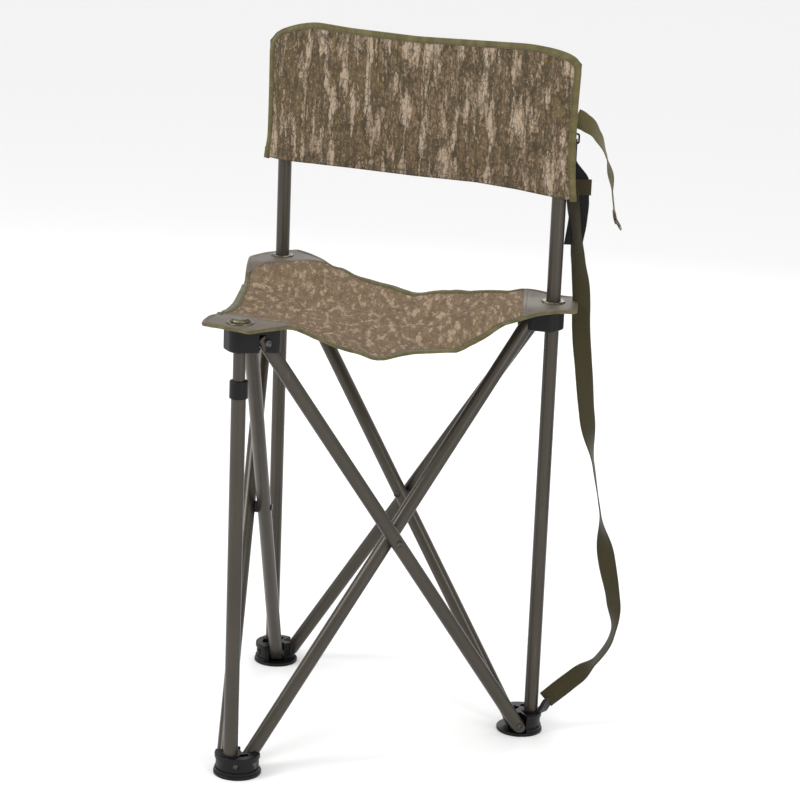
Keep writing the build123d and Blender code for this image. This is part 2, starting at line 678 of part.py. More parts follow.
with BuildPart() as d_ring:
    with BuildSketch(flat_fitting_plane(STRAP_BACK + WIRE_T / 2)):
        with Locations((13, D_RING_Z)):
            RectangleRounded(20, 15, 4)
            RectangleRounded(20 - 2 * WIRE_T, 15 - 2 * WIRE_T, 2, mode=Mode.SUBTRACT)
    extrude(amount=WIRE_T)
    fillet(d_ring.faces().filter_by(GeomType.PLANE).group_by(SortBy.AREA)[-1].edges(), radius=0.9)
save(d_ring, "d_ring")

# The snap hook closes round the ring's lower bar, edge on to it.
hook_plane = Plane(origin=rear_point(HOOK_OUT, 0, 0), x_dir=REAR_ROUND, z_dir=REAR_OUT)
with BuildPart() as snap_hook:
    with BuildSketch(hook_plane):
        with Locations((STRAP_BACK, HOOK_Z)):
            Circle(8.5)
        with Locations((STRAP_BACK, HOOK_Z - 13)):
            Rectangle(5, 14)
        with Locations((STRAP_BACK, HOOK_Z - 22)):
            RectangleRounded(9, 8, 2)
        with Locations((STRAP_BACK, HOOK_Z - 25)):
            Rectangle(3.4, 9, mode=Mode.SUBTRACT)
        with Locations((STRAP_BACK, HOOK_Z)):
            Circle(4.8, mode=Mode.SUBTRACT)
        with Locations((STRAP_BACK + 6, HOOK_Z + 1)):
            Rectangle(8, 8, mode=Mode.SUBTRACT)
    extrude(amount=HOOK_T)
save(snap_hook, "snap_hook")

with BuildPart() as gate:
    with BuildSketch(hook_plane.offset(0.5)):
        with Locations((STRAP_BACK + 6.6, HOOK_Z + 1)):
            RectangleRounded(2.6, 7.6, 0.8)
    extrude(amount=HOOK_T - 1)
save(gate, "snap_hook_gate")

# Black webbing gathers in the hook's eye and hangs through a keeper of olive webbing.
with BuildPart() as closing_webbing:
    with BuildSketch(flat_fitting_plane(STRAP_BACK + 1)):
        with BuildLine():
            Line((HOOK_OUT + 0.6, HOOK_Z - 21), (HOOK_OUT + 4.4, HOOK_Z - 21))
            Line((HOOK_OUT + 4.4, HOOK_Z - 21), (37.5, 772))
            Spline((37.5, 772), (40, 735), (38, 706), (34, 681))
            Line((34, 681), (9.5, 681))
            Spline((9.5, 681), (13.5, 712), (15, 735), (12.5, 772))
            Line((12.5, 772), (HOOK_OUT + 0.6, HOOK_Z - 21))
        make_face()
    extrude(amount=2)
save(closing_webbing, "closing_webbing")

with BuildPart() as keeper:
    with BuildSketch(Plane(origin=rear_point(26.5, STRAP_BACK, 748), x_dir=REAR_OUT)):
        Rectangle(30.5, 4.6)
        Rectangle(27.5, 2.2, mode=Mode.SUBTRACT)
    extrude(amount=21)
    add(closing_webbing.part, mode=Mode.SUBTRACT)
save(keeper, "strap_keeper")

ring_down = REAR_OUT * 0.55 - UP * 0.835
with BuildPart() as wire_loop:
    with BuildSketch(
        Plane(
            origin=rear_point(79, 9, 713.5),
            x_dir=REAR_ROUND,
            z_dir=REAR_ROUND.cross(ring_down),
        )
    ):
        RectangleRounded(28, 16, 3)
        RectangleRounded(28 - 2 * WIRE_T, 16 - 2 * WIRE_T, 1, mode=Mode.SUBTRACT)
    extrude(amount=WIRE_T / 2, both=True)
    fillet(wire_loop.faces().filter_by(GeomType.PLANE).group_by(SortBy.AREA)[-1].edges(), radius=0.9)
save(wire_loop, "hook_strap_wire_loop")

with BuildPart() as foot_loop:
    with BuildSketch(radial_plane("rear_right")):
        with Locations((24.0, 34.0)):
            SlotOverall(30, 9, rotation=65)
            SlotOverall(26, 5, rotation=65, mode=Mode.SUBTRACT)
    extrude(amount=10, both=True)
save(foot_loop, "foot_strap_loop")
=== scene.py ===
"""Folding three-leg stool: sling seat, slip-on backrest, webbing straps."""
import math

import bmesh
import bpy
import numpy as np
from mathutils import Matrix, Vector, noise


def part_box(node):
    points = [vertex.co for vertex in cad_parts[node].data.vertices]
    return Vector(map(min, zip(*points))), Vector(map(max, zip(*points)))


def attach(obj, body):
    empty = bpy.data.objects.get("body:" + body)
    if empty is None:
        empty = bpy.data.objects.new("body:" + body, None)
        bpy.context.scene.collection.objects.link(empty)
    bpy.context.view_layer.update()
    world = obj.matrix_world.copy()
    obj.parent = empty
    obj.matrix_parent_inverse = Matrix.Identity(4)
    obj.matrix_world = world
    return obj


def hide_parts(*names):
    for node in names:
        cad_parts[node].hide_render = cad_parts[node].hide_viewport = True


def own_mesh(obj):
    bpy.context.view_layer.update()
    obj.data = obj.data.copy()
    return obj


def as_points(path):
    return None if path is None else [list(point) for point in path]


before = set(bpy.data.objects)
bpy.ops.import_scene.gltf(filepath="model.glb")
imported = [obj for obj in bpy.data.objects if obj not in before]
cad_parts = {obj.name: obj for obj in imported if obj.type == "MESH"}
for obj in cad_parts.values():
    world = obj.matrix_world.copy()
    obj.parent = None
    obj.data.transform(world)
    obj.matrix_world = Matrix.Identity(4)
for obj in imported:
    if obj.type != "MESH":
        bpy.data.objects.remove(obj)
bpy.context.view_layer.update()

MM = 0.001
UP = Vector((0, 0, 1))

# ---------------------------------------------------------------- places taken from the frame
HUBS = {"front": "front_hub", "rear_right": "rear_right_hub", "rear_left": "rear_left_hub"}
TUBES = {"front": "front_leg_upper_tube", "rear_right": "rear_right_post", "rear_left": "rear_left_post"}
ROOT = "rear_right_leg"


def axis_of(node):
    """The plan position of an upright tube."""
    low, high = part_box(node)
    return Vector(((low.x + high.x) / 2, (low.y + high.y) / 2, 0))


LEGS = {corner: axis_of(tube) for corner, tube in TUBES.items()}
CENTRE = sum(LEGS.values(), Vector()) / 3
LEG_R = (LEGS["front"] - CENTRE).length
OUT = {corner: (leg - CENTRE).normalized() for corner, leg in LEGS.items()}
AROUND = {corner: UP.cross(out) for corner, out in OUT.items()}
SEAT_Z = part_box("seat_patch_front")[0].z
POST_X = LEGS["rear_right"].x
BACK_Y = LEGS["rear_right"].y


# ---------------------------------------------------------------- camera, floor and light
AZIMUTH, PITCH, ROLL = 33.475, 14.403, 2.28
LENS = 108.42
DISTANCE = 3.243
AIM_RIGHT = 0.06            # the camera looks at a point beside the tripod's middle
AIM_HEIGHT = 0.4595


def make_camera():
    azimuth, pitch, roll = (math.radians(angle) for angle in (AZIMUTH, PITCH, ROLL))
    right = Vector((math.cos(azimuth), math.sin(azimuth), 0))
    back = Vector((math.sin(azimuth) * math.cos(pitch), -math.cos(azimuth) * math.cos(pitch), math.sin(pitch)))
    up = back.cross(right)
    across = right * math.cos(roll) + up * math.sin(roll)
    upward = up * math.cos(roll) - right * math.sin(roll)
    data = bpy.data.cameras.new("camera")
    data.sensor_width = 36
    data.lens = LENS
    camera = bpy.data.objects.new("camera", data)
    bpy.context.scene.collection.objects.link(camera)
    turn = Matrix((across, upward, back)).transposed().to_4x4()
    target = CENTRE + right * AIM_RIGHT + UP * AIM_HEIGHT
    camera.matrix_world = Matrix.Translation(target + back * DISTANCE) @ turn
    bpy.context.scene.camera = camera


def add_light(name, place, aim, size, power):
    data = bpy.data.lights.new(name, "AREA")
    data.shape = "RECTANGLE"
    data.size, data.size_y = size
    data.energy = power
    light = bpy.data.objects.new(name, data)
    bpy.context.scene.collection.objects.link(light)
    light.location = place
    light.rotation_mode = "QUATERNION"
    light.rotation_quaternion = (Vector(aim) - Vector(place)).to_track_quat("-Z", "Y")


def make_studio():
    scene = bpy.context.scene
    scene.view_settings.view_transform = "Standard"
    world = bpy.data.worlds.new("studio")
    scene.world = world
    world.use_nodes = True
    background = world.node_tree.nodes["Background"]
    background.inputs["Color"].default_value = (1, 1, 1, 1)
    background.inputs["Strength"].default_value = 0.92
    bpy.ops.mesh.primitive_plane_add(size=60, location=(0, 0, 0))
    floor = bpy.context.object
    floor.name = "floor"
    floor.data.materials.append(plain_material("floor_paper", (0.97, 0.97, 0.97), 0.9, specular=0.1))
    middle = CENTRE + UP * 0.5
    add_light("key", (-1.6, -2.6, 2.6), middle, (1.4, 1.4), 62)
    add_light("side", (2.6, -0.9, 1.5), middle, (0.6, 2.0), 22)
    add_light("rim", (-0.9, 2.6, 1.9), middle, (1.6, 1.2), 16)


# ---------------------------------------------------------------- materials
def srgb(red, green, blue):
    """A colour given as it looks on a screen, 0 to 255."""
    return tuple(
        c / 12.92 if c <= 0.04045 else ((c + 0.055) / 1.055) ** 2.4
        for c in (red / 255, green / 255, blue / 255)
    )


def plain_material(name, colour, roughness, metallic=0.0, specular=0.5, sheen=0.0):
    material = bpy.data.materials.new(name)
    material.use_nodes = True
    inputs = material.node_tree.nodes["Principled BSDF"].inputs
    inputs["Base Color"].default_value = (*colour, 1)
    inputs["Roughness"].default_value = roughness
    inputs["Metallic"].default_value = metallic
    inputs["Specular IOR Level"].default_value = specular
    inputs["Sheen Weight"].default_value = sheen
    return material


class Nodes:
    """A plain material, and short calls that build its node tree."""

    def __init__(self, *surface, **more):
        self.material = plain_material(*surface, **more)
        self.tree = self.material.node_tree
        self.coordinate = self.tree.nodes.new("ShaderNodeTexCoord")

    def add(self, kind, output, inputs, **settings):
        """A new node with its inputs set or linked; gives one of its outputs."""
        node = self.tree.nodes.new(f"ShaderNode{kind}")
        for name, value in settings.items():
            setattr(node, name, value)
        for name, value in inputs.items():
            socket = node.inputs[name]
            if isinstance(value, bpy.types.NodeSocket):
                self.tree.links.new(value, socket)
            elif socket.type == "RGBA":
                socket.default_value = (*value, 1)
            else:
                socket.default_value = value
        return node.outputs[output]

    def place(self, kind, scale=(1, 1, 1), turn=0.0, shift=(0, 0, 0)):
        """Object or UV coordinates, stretched and turned."""
        source = self.coordinate.outputs[kind]
        inputs = {"Vector": source, "Scale": scale, "Rotation": (0, 0, turn), "Location": shift}
        return self.add("Mapping", "Vector", inputs)

    def noise(self, vector, scale, detail=2.0, rough=0.5, colour=False):
        inputs = {"Vector": vector, "Scale": scale, "Detail": detail, "Roughness": rough}
        return self.add("TexNoise", "Color" if colour else "Fac", inputs)

    def cracks(self, vector, scale):
        return self.add("TexVoronoi", "Distance", {"Vector": vector, "Scale": scale}, feature="DISTANCE_TO_EDGE")

    def ribs(self, vector, pitch, direction="X"):
        """A sine wave of the given pitch in metres."""
        inputs = {"Vector": vector, "Scale": math.pi / (10 * pitch)}
        return self.add("TexWave", "Fac", inputs, bands_direction=direction)

    def plus(self, a, b):
        return self.add("Math", "Value", {0: a, 1: b}, operation="ADD")

    def minus(self, a, b):
        return self.add("Math", "Value", {0: a, 1: b}, operation="SUBTRACT")

    def times(self, a, b):
        return self.add("Math", "Value", {0: a, 1: b}, operation="MULTIPLY")

    def step(self, value, low, high):
        """0 below low, 1 above high, smooth between; low may be the larger."""
        ends = (1.0, 0.0) if low > high else (0.0, 1.0)
        inputs = {"Value": value, "From Min": min(low, high), "From Max": max(low, high)}
        inputs |= {"To Min": ends[0], "To Max": ends[1]}
        return self.add("MapRange", "Result", inputs, interpolation_type="SMOOTHSTEP")

    def spread(self, value, low, high):
        """A 0 to 1 value stretched to run from low to high."""
        return self.add("MapRange", "Result", {"Value": value, "To Min": low, "To Max": high})

    def mix(self, share, a, b):
        return self.add("Mix", 2, {0: share, 6: a, 7: b}, data_type="RGBA")

    def over(self, colour, mask, amount, tint):
        """The colour with up to an amount of a tint over it where the mask is 1."""
        return self.mix(self.times(mask, amount), colour, srgb(*tint))

    def shifted(self, vector, colour, amount):
        """Coordinates pushed about by a noise colour."""
        centred = self.add("VectorMath", 0, {0: colour, 1: (0.5, 0.5, 0.5)}, operation="SUBTRACT")
        sized = self.add("VectorMath", 0, {0: centred, "Scale": amount}, operation="SCALE")
        return self.add("VectorMath", 0, {0: vector, 1: sized}, operation="ADD")

    def bump(self, height, strength, distance, **under):
        return self.add("Bump", "Normal", {"Strength": strength, "Distance": distance, "Height": height, **under})

    def out(self, colour, roughness=None, normal=None):
        """Links what was built to the shader and gives the finished material."""
        inputs = self.tree.nodes["Principled BSDF"].inputs
        for name, value in (("Base Color", colour), ("Roughness", roughness), ("Normal", normal)):
            if value is not None:
                self.tree.links.new(value, inputs[name])
        return self.material


def tube_paint():
    """Satin powder coat, dark brown-grey, with the fine orange peel and faint rubs of a used tube."""
    n = Nodes("tube_paint", srgb(58, 54, 48), 0.34, 0.6)
    place = n.place("Object")
    cloud = n.noise(place, 9, 3)
    rub = n.step(n.noise(n.place("Object", (60, 60, 3)), 6, 4, 0.6), 0.60, 0.78)
    colour = n.mix(cloud, srgb(58, 53, 46), srgb(74, 69, 62))
    colour = n.over(colour, rub, 0.35, (104, 99, 92))
    rough = n.plus(n.spread(cloud, 0.27, 0.36), n.times(rub, 0.08))
    return n.out(colour, rough, n.bump(n.noise(place, 900, 2, 0.55), 0.10, 0.0003))


def black_plastic():
    """Moulded nylon: near black, a fine spark-eroded grain, greyer where it has rubbed."""
    n = Nodes("black_plastic", srgb(22, 22, 23), 0.45, specular=0.22)
    place = n.place("Object")
    grain = n.noise(place, 1500, 2, 0.6)
    cloud = n.noise(place, 45, 4, 0.6)
    scuff = n.step(n.noise(n.place("Object", (1, 1, 4)), 160, 3, 0.7), 0.62, 0.8)
    colour = n.mix(cloud, srgb(6, 6, 7), srgb(17, 17, 18))
    colour = n.over(colour, scuff, 0.4, (62, 61, 60))
    return n.out(colour, n.spread(cloud, 0.34, 0.50), n.bump(grain, 0.25, 0.0003))


def plated_metal(name, dark, light, roughness, scale=240):
    """Plating with cloudy tarnish and fine scratches."""
    n = Nodes(name, light, roughness, 1.0)
    cloud = n.noise(n.place("Object"), scale, 4, 0.65)
    scratch = n.noise(n.place("Object", (1, 1, 12), 0.6), 500, 2, 0.5)
    colour = n.mix(n.step(cloud, 0.35, 0.7), dark, light)
    return n.out(colour, n.spread(cloud, roughness - 0.08, roughness + 0.12), n.bump(scratch, 0.12, 0.0002))


def weave_height(n, place, pitch):
    """Plain weave: warp and weft threads of the given pitch passing over and under each other."""
    over = n.ribs(place, pitch * 2, "DIAGONAL")
    return n.plus(n.times(n.ribs(place, pitch), over), n.times(n.ribs(place, pitch, "Y"), n.minus(1.0, over)))


def camo_fabric(name, stretch, plates, seed, light, wash):
    """Woven polyester printed with a made-up bark pattern: pale ragged plates, mottle and dark cracks."""
    n = Nodes(name, srgb(104, 90, 72), 0.92, specular=0.04)
    flat = n.place("UV")
    long = n.place("UV", (1, stretch, 1), shift=seed)
    short = n.place("UV", (1, 0.5 + stretch / 2, 1), shift=seed)
    ragged = n.shifted(long, n.noise(short, 150, 3, 0.65, colour=True), 0.0065)
    crumbled = n.shifted(short, n.noise(short, 260, 2, 0.6, colour=True), 0.003)

    ground = n.mix(n.step(n.noise(ragged, 34, 3), 0.40, 0.62), srgb(118, 96, 77), srgb(100, 84, 59))
    ground = n.mix(n.step(n.noise(crumbled, 210, 3, 0.6), 0.58, 0.40), ground, srgb(78, 66, 50))
    ground = n.mix(n.step(n.noise(ragged, 95, 4, 0.6), 0.52, 0.64), ground, srgb(66, 56, 42))
    ground = n.mix(n.step(n.noise(crumbled, 120, 3, 0.6), 0.56, 0.68), ground, srgb(112, 92, 56))
    ground = n.mix(n.step(n.noise(crumbled, 180, 3, 0.6), 0.57, 0.66), ground, srgb(142, 121, 99))

    field = n.plus(n.noise(ragged, plates, 5, 0.6), n.times(n.noise(crumbled, 300, 2), 0.14))
    colour = n.over(ground, n.step(field, 0.530, 0.567), 0.6, (50, 43, 32))
    colour = n.over(colour, n.step(field, 0.575, 0.605), light, (146, 127, 106))
    colour = n.over(colour, n.step(field, 0.615, 0.675), light * 0.85, (176, 159, 139))

    fine = n.step(n.cracks(crumbled, 190), 0.13, 0.03)
    broken = n.step(n.noise(short, 90, 3, 0.7), 0.36, 0.60)
    colour = n.over(colour, n.times(fine, broken), 0.75, (44, 38, 28))
    colour = n.over(colour, n.step(n.cracks(ragged, 46), 0.05, 0.012), 0.6, (44, 38, 28))
    colour = n.over(colour, n.step(n.noise(flat, 1100, 2, 0.7), 0.45, 0.7), 0.30, (52, 45, 34))

    colour = n.mix(wash, colour, srgb(188, 158, 130))
    weave = weave_height(n, flat, 0.0008)
    # painted highlight: the tops of the woven threads are coloured lighter
    colour = n.over(colour, weave, 0.12, (176, 164, 142))
    threads = n.bump(weave, 0.30, 0.0003)
    return n.out(colour, None, n.bump(n.noise(flat, 120, 3, 0.6), 0.25, 0.0010, Normal=threads))


def webbing_material(name, dark, light):
    """Flat woven webbing: a herringbone of ribs across the tape, with painted shade in the grooves and painted
    highlights on the ribs' hairy tops.
    """
    n = Nodes(name, dark, 0.88, specular=0.2, sheen=0.2)
    flat = n.place("UV")
    left, right = (n.ribs(n.place("UV", turn=slant), 0.0024) for slant in (0.62, -0.62))
    rib = n.mix(n.step(n.ribs(flat, 0.0064, "Y"), 0.42, 0.58), left, right)
    hair = n.times(n.noise(n.place("UV", (1, 4, 1)), 1400, 3, 0.7), 0.35)
    # painted shade and highlight: the colour follows the ribs' and hairs' height, dark in the grooves and light on
    # the tops
    colour = n.mix(n.plus(n.times(rib, 0.55), hair), dark, light)
    colour = n.mix(n.times(n.noise(flat, 60, 3, 0.6), 0.3), colour, dark)
    return n.out(colour, None, n.bump(n.plus(rib, hair), 0.65, 0.0005))


def tape_material():
    """Binding tape: a fine grosgrain rib across its width, dusty olive in random darker and lighter clouds, with a
    painted highlight on the hairy tops of the ribs.
    """
    n = Nodes("olive_tape", srgb(104, 98, 62), 0.9, specular=0.15, sheen=0.15)
    rib = n.ribs(n.place("UV"), 0.0009)
    hair = n.noise(n.place("UV", (3, 1, 1)), 1300, 3, 0.7)
    cloud = n.noise(n.place("UV", (1, 0.3, 1)), 55, 4, 0.65)
    colour = n.mix(n.step(cloud, 0.3, 0.72), srgb(70, 64, 38), srgb(102, 95, 61))
    # painted highlight: the hairy tops of the ribs are coloured a lighter olive
    colour = n.over(colour, n.times(rib, hair), 0.5, (124, 117, 82))
    return n.out(colour, None, n.bump(n.plus(rib, hair), 0.4, 0.0003))


def vinyl_material():
    """Coated taupe patch with a fine leather grain, a little shine and darker creases."""
    n = Nodes("vinyl_patch", srgb(126, 117, 104), 0.55, specular=0.35)
    place = n.place("Object")
    grain = n.cracks(n.shifted(place, n.noise(place, 300, 2, colour=True), 0.0015), 620)
    cloud = n.noise(place, 38, 4, 0.6)
    colour = n.mix(n.step(cloud, 0.3, 0.7), srgb(92, 84, 73), srgb(110, 101, 89))
    colour = n.over(colour, n.step(grain, 0.12, 0.0), 0.45, (66, 60, 51))
    return n.out(colour, n.spread(cloud, 0.46, 0.62), n.bump(n.step(grain, 0.0, 0.25), 0.35, 0.0003))


def thread_material(name, colour):
    n = Nodes(name, colour, 0.75, sheen=0.3)
    twist = n.noise(n.place("Object"), 3000, 2, 0.6)
    return n.out(n.mix(twist, tuple(c * 0.6 for c in colour), tuple(c * 1.3 for c in colour)))


MATERIALS = {
    "paint": tube_paint(),
    "plastic": black_plastic(),
    "steel": plated_metal("dark_steel", srgb(48, 46, 44), srgb(96, 94, 90), 0.38),
    "brass": plated_metal("aged_nickel", srgb(74, 67, 54), srgb(134, 126, 108), 0.34, 120),
    "wire": plated_metal("antique_wire", srgb(70, 64, 52), srgb(122, 114, 98), 0.34),
    "black_wire": plated_metal("black_wire", srgb(13, 13, 14), srgb(36, 36, 37), 0.34),
    "bark": camo_fabric("bark_backrest", 0.20, 66, (0.31, 0.2, 0), 0.75, 0.0),
    "blotch": camo_fabric("bark_seat", 0.36, 105, (0.7, 0.4, 0), 0.68, 0.17),
    "tape": tape_material(),
    "olive": webbing_material("olive_webbing", srgb(25, 22, 9), srgb(78, 70, 40)),
    "pale_olive": webbing_material("pale_olive_webbing", srgb(66, 60, 35), srgb(112, 104, 68)),
    "black_web": webbing_material("black_webbing", srgb(12, 12, 13), srgb(40, 39, 38)),
    "vinyl": vinyl_material(),
    "thread": thread_material("dark_thread", srgb(52, 48, 36)),
    "taupe_thread": thread_material("taupe_thread", srgb(92, 85, 74)),
}


NODE_MATERIALS = (
    (("foot_rivets", "leg_screw", "mid_rivet", "hub_rivets"), "steel"),
    (("foot_", "hub_", "mid_spacer", "rear_left_post_cap", "rear_right_post_cap", "front_leg_collar"), "plastic"),
    (("strut_", "front_leg_", "rear_left_post", "rear_right_post"), "paint"),
    (("seat_grommet", "seat_button"), "brass"),
    (("hook_strap_wire_loop",), "wire"),
    (("d_ring",), "black_wire"),
    (("snap_hook",), "plastic"),
)


def paint_nodes():
    """Gives each CAD node that stays its finished material."""
    for name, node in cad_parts.items():
        kinds = [kind for starts, kind in NODE_MATERIALS if name.startswith(starts)]
        if kinds:
            node.data.materials.clear()
            node.data.materials.append(MATERIALS[kinds[0]])


# ---------------------------------------------------------------- mesh helpers
def finish_mesh(name, mesh, materials, outward=True):
    """Turns a bmesh into a linked, smooth-shaded object, with its faces turned outward if asked."""
    if outward:
        bmesh.ops.recalc_face_normals(mesh, faces=mesh.faces)
    data = bpy.data.meshes.new(name)
    mesh.to_mesh(data)
    mesh.free()
    for material in materials:
        data.materials.append(MATERIALS[material])
    data.polygons.foreach_set("use_smooth", [True] * len(data.polygons))
    obj = bpy.data.objects.new(name, data)
    bpy.context.scene.collection.objects.link(obj)
    return obj


def settle(piece, body, slot, *nodes):
    """Says what a piece rides on and which CAD nodes it stands for; slot is not used."""
    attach(piece, body)
    if nodes:
        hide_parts(*nodes)


def cut_apart(name, mesh, part_of, materials):
    """Makes an object of each group of faces that part_of gives the same key, in the order of the keys."""
    groups = {}
    mesh.faces.index_update()
    for face in mesh.faces:
        groups.setdefault(part_of(face), set()).add(face.index)
    whole = bpy.data.meshes.new("whole")
    mesh.to_mesh(whole)
    mesh.free()
    pieces = {}
    for key, chosen in sorted(groups.items()):
        share = bmesh.new()
        share.from_mesh(whole)
        extra = [face for face in share.faces if face.index not in chosen]
        bmesh.ops.delete(share, geom=extra, context="FACES")
        pieces[key] = finish_mesh("_".join((name, *key)), share, materials, outward=False)
    bpy.data.meshes.remove(whole)
    return pieces


def weld(mesh):
    bmesh.ops.remove_doubles(mesh, verts=mesh.verts, dist=1e-6)
    bmesh.ops.recalc_face_normals(mesh, faces=mesh.faces)


def skin(mesh, rings, uvs=None, closed=False, material=0):
    """Quads between rows of points; uvs is a matching grid of (u, v)."""
    verts = [[mesh.verts.new(p) for p in ring] for ring in rings]
    uv_layer = mesh.loops.layers.uv.verify()
    for i in range(len(rings) - 1):
        count = len(rings[i])
        for j in range(count if closed else count - 1):
            k = (j + 1) % count
            corners = ((i, j), (i, k), (i + 1, k), (i + 1, j))
            face = mesh.faces.new([verts[a][b] for a, b in corners])
            face.material_index = material
            if uvs is not None:
                for loop, (a, b) in zip(face.loops, ((i, j), (i, j + 1), (i + 1, j + 1), (i + 1, j))):
                    loop[uv_layer].uv = uvs[a][b]
    return verts


STITCH_LONG = 2.7 * MM
STITCH_GAP = 1.3 * MM
THREAD_R = 0.38 * MM
STITCH = (
    # share of the stitch, lift above the cloth and half width, in thread radii
    (0, -0.9, 0.5), (0.14, 0.35, 0.95), (0.5, 0.75, 1.05), (0.86, 0.35, 0.95), (1, -0.9, 0.5),
)


def add_stitches(mesh, points, normals):
    """A row of sewn stitches along a line: short rounded threads that dip into the cloth at both ends."""
    places = [Vector(p) for p in points]
    along = [0.0]
    for a, b in zip(places, places[1:]):
        along.append(along[-1] + (b - a).length)

    def at(distance):
        k = min(max(int(np.searchsorted(along, distance)) - 1, 0), len(places) - 2)
        share = (distance - along[k]) / max(along[k + 1] - along[k], 1e-9)
        return places[k].lerp(places[k + 1], share), normals[k].lerp(normals[k + 1], share).normalized()

    start = 0.0
    turns = [math.radians(60 * k) for k in range(6)]
    while start + STITCH_LONG < along[-1]:
        rings = []
        ahead = (at(start + STITCH_LONG)[0] - at(start)[0]).normalized()
        for share, lift, width in STITCH:
            centre, normal = at(start + STITCH_LONG * share)
            side = ahead.cross(normal).normalized()
            centre = centre + normal * (THREAD_R * lift)
            rings.append([centre + (side * math.cos(t) + normal * math.sin(t)) * THREAD_R * width for t in turns])
        skin(mesh, rings, closed=True, material=1)
        start += STITCH_LONG + STITCH_GAP


def smooth(value, low, high):
    share = min(max((value - low) / (high - low), 0.0), 1.0)
    return share * share * (3 - 2 * share)


# ---------------------------------------------------------------- the seat's shape
END_R = 0.2893              # from the middle to the blunt end over a leg
END_HALF = 0.038            # half the width of that end
EDGES = (
    # first hub, middle radius, sag in mm every 15 degrees from one hub to the next
    ("front", 0.143, (0, 12, 38, 57, 51, 50, 51, 11, 0)),
    ("rear_right", 0.139, (0, 1, 6, 14, 23, 18, 16, 8, 0)),
    ("rear_left", 0.1675, (0, 24, 19, 21, 22, 20, 14, 5, 0)),
)
CORNER_LIFT = 0.005         # the rear right patch's far corner curls up
END_DROOP = {
    # the share of its neighbouring edge's sag that reaches a hub's blunt end, before and after the leg
    "front": (0.2, 0.0),
    "rear_right": (0.8, 0.0),
    "rear_left": (0.0, 0.7),
}
HUB_TOP = (
    # ends of short bars that cover a hub's top, (in, after) from the leg, and their radius, in mm
    ((0, 0), (37, -6), 13), ((4, -13), (24, -13), 11), ((32, 22), (25, 35), 8.5), ((0, 0), (20, 28), 13),
    ((37, -6), (32, 22), 9.5), ((12, 4), (26, 18), 16),
)
MIDDLE_SAG = 0.044
RINGS = 50
SPOKES = 288
CUT_SLACK = 1.03            # the sling is cut larger than its plan, which lets it hang
SPLIT_RHO = 0.72            # inside this share of the radius the cloth is cut off as each hub's middle piece


def edge_of(angle):
    """Which edge a bearing crosses, and how far round it is from that edge's first hub, in degrees."""
    turn = (angle + 90.0) % 360.0
    return EDGES[int(turn // 120) % 3], turn % 120.0


def bearing_of(away):
    return math.degrees(math.atan2(away.y, away.x))


def plan_radius(angle):
    """From the middle to the seat's edge at a bearing."""
    (_, middle, _), turn = edge_of(angle)
    phi = math.radians(min(turn, 120 - turn))
    blunt = END_R / math.cos(phi)
    corner = Vector((END_R, END_HALF))
    bisector = Vector((0.5, math.sqrt(0.75)))
    far = (corner.length_squared - middle**2) / (2 * (corner.dot(bisector) - middle))
    reach = far - middle
    psi = math.radians(60) - phi
    inside = reach**2 - (far * math.sin(psi)) ** 2
    hollow = far * math.cos(psi) - math.sqrt(inside) if inside > 0 else 1.0
    soft = 0.004
    return -soft * math.log(math.exp(-blunt / soft) + math.exp(-hollow / soft))


def edge_sag(angle):
    (_, _, sags), turn = edge_of(angle)
    step = turn / 15.0
    stations = range(len(sags))
    near = [np.interp(step + shift, stations, sags) for shift in (-0.22, 0, 0.22)]
    return sum(near) / 3 * MM


def off_hub(plan):
    """How far a plan point is from the nearest hub's top, and its place in from and round from that leg."""
    corner = min(LEGS, key=lambda name: (plan - LEGS[name]).length_squared)
    away = plan - LEGS[corner]
    depth, after = -away.dot(OUT[corner]), away.dot(AROUND[corner])
    gaps = []
    for (ax, ay), (bx, by), radius in HUB_TOP:
        bar_x, bar_y = (bx - ax) * MM, (by - ay) * MM
        x, y = depth - ax * MM, after - ay * MM
        share = min(max((x * bar_x + y * bar_y) / (bar_x**2 + bar_y**2), 0.0), 1.0)
        gaps.append(math.hypot(x - share * bar_x, y - share * bar_y) - radius * MM)
    return min(gaps), depth, after, corner


def seat_point(angle, rho, lift=0.0):
    """A point of the sling's top at a bearing and a share of the way to its edge."""
    radius = plan_radius(angle) * rho
    turn = math.radians(angle)
    plan = CENTRE + Vector((math.cos(turn), math.sin(turn), 0)) * radius
    gap, depth, after, corner = off_hub(plan)
    share = min(rho, 1.0) ** 1.7
    end = END_DROOP[corner][1 if after > 0 else 0]
    ends = end + (1 - end) * smooth(depth, -0.02, 0.045)
    sag = MIDDLE_SAG * (1 - share) * smooth(gap, 0.0, 0.115)
    sag += edge_sag(angle) * share * ends * smooth(gap, 0.0, 0.046)
    ripple = noise.noise(Vector((plan.x * 16, plan.y * 16, 3.1))) * 2.2 * MM
    ripple += noise.noise(Vector((plan.x * 42, plan.y * 42, 7.7))) * 0.9 * MM
    creases = math.sin(math.radians(angle) * 27 + 6 * noise.noise(plan * 9)) * 1.1 * MM
    creases *= smooth(gap, 0.01, 0.05) * (1 - smooth(gap, 0.06, 0.15))
    height = SEAT_Z - sag - ripple * smooth(gap, 0.0, 0.07) - creases + lift
    if corner == "rear_right" and after > 0:
        curl = smooth(after, 0.020, 0.052) * smooth(depth, -0.02, 0.03) * (1 - smooth(depth, 0.040, 0.064))
        height += CORNER_LIFT * curl
    return Vector((plan.x, plan.y, height))


def seat_normal(angle, rho):
    a = seat_point(angle + 0.5, rho) - seat_point(angle - 0.5, rho)
    b = seat_point(angle, rho + 0.01) - seat_point(angle, rho - 0.01)
    normal = b.cross(a)
    return normal.normalized() if normal.z > 0 else -normal.normalized()


def off_edge(angle, inward, height):
    """A point a distance in from the sling's edge and above its face, both in metres."""
    rho = 1 - inward / plan_radius(angle)
    return seat_point(angle, rho) + seat_normal(angle, min(rho, 0.985)) * height


def nearest_corner(point):
    return min(LEGS, key=lambda corner: (Vector((point.x, point.y, 0)) - LEGS[corner]).length)


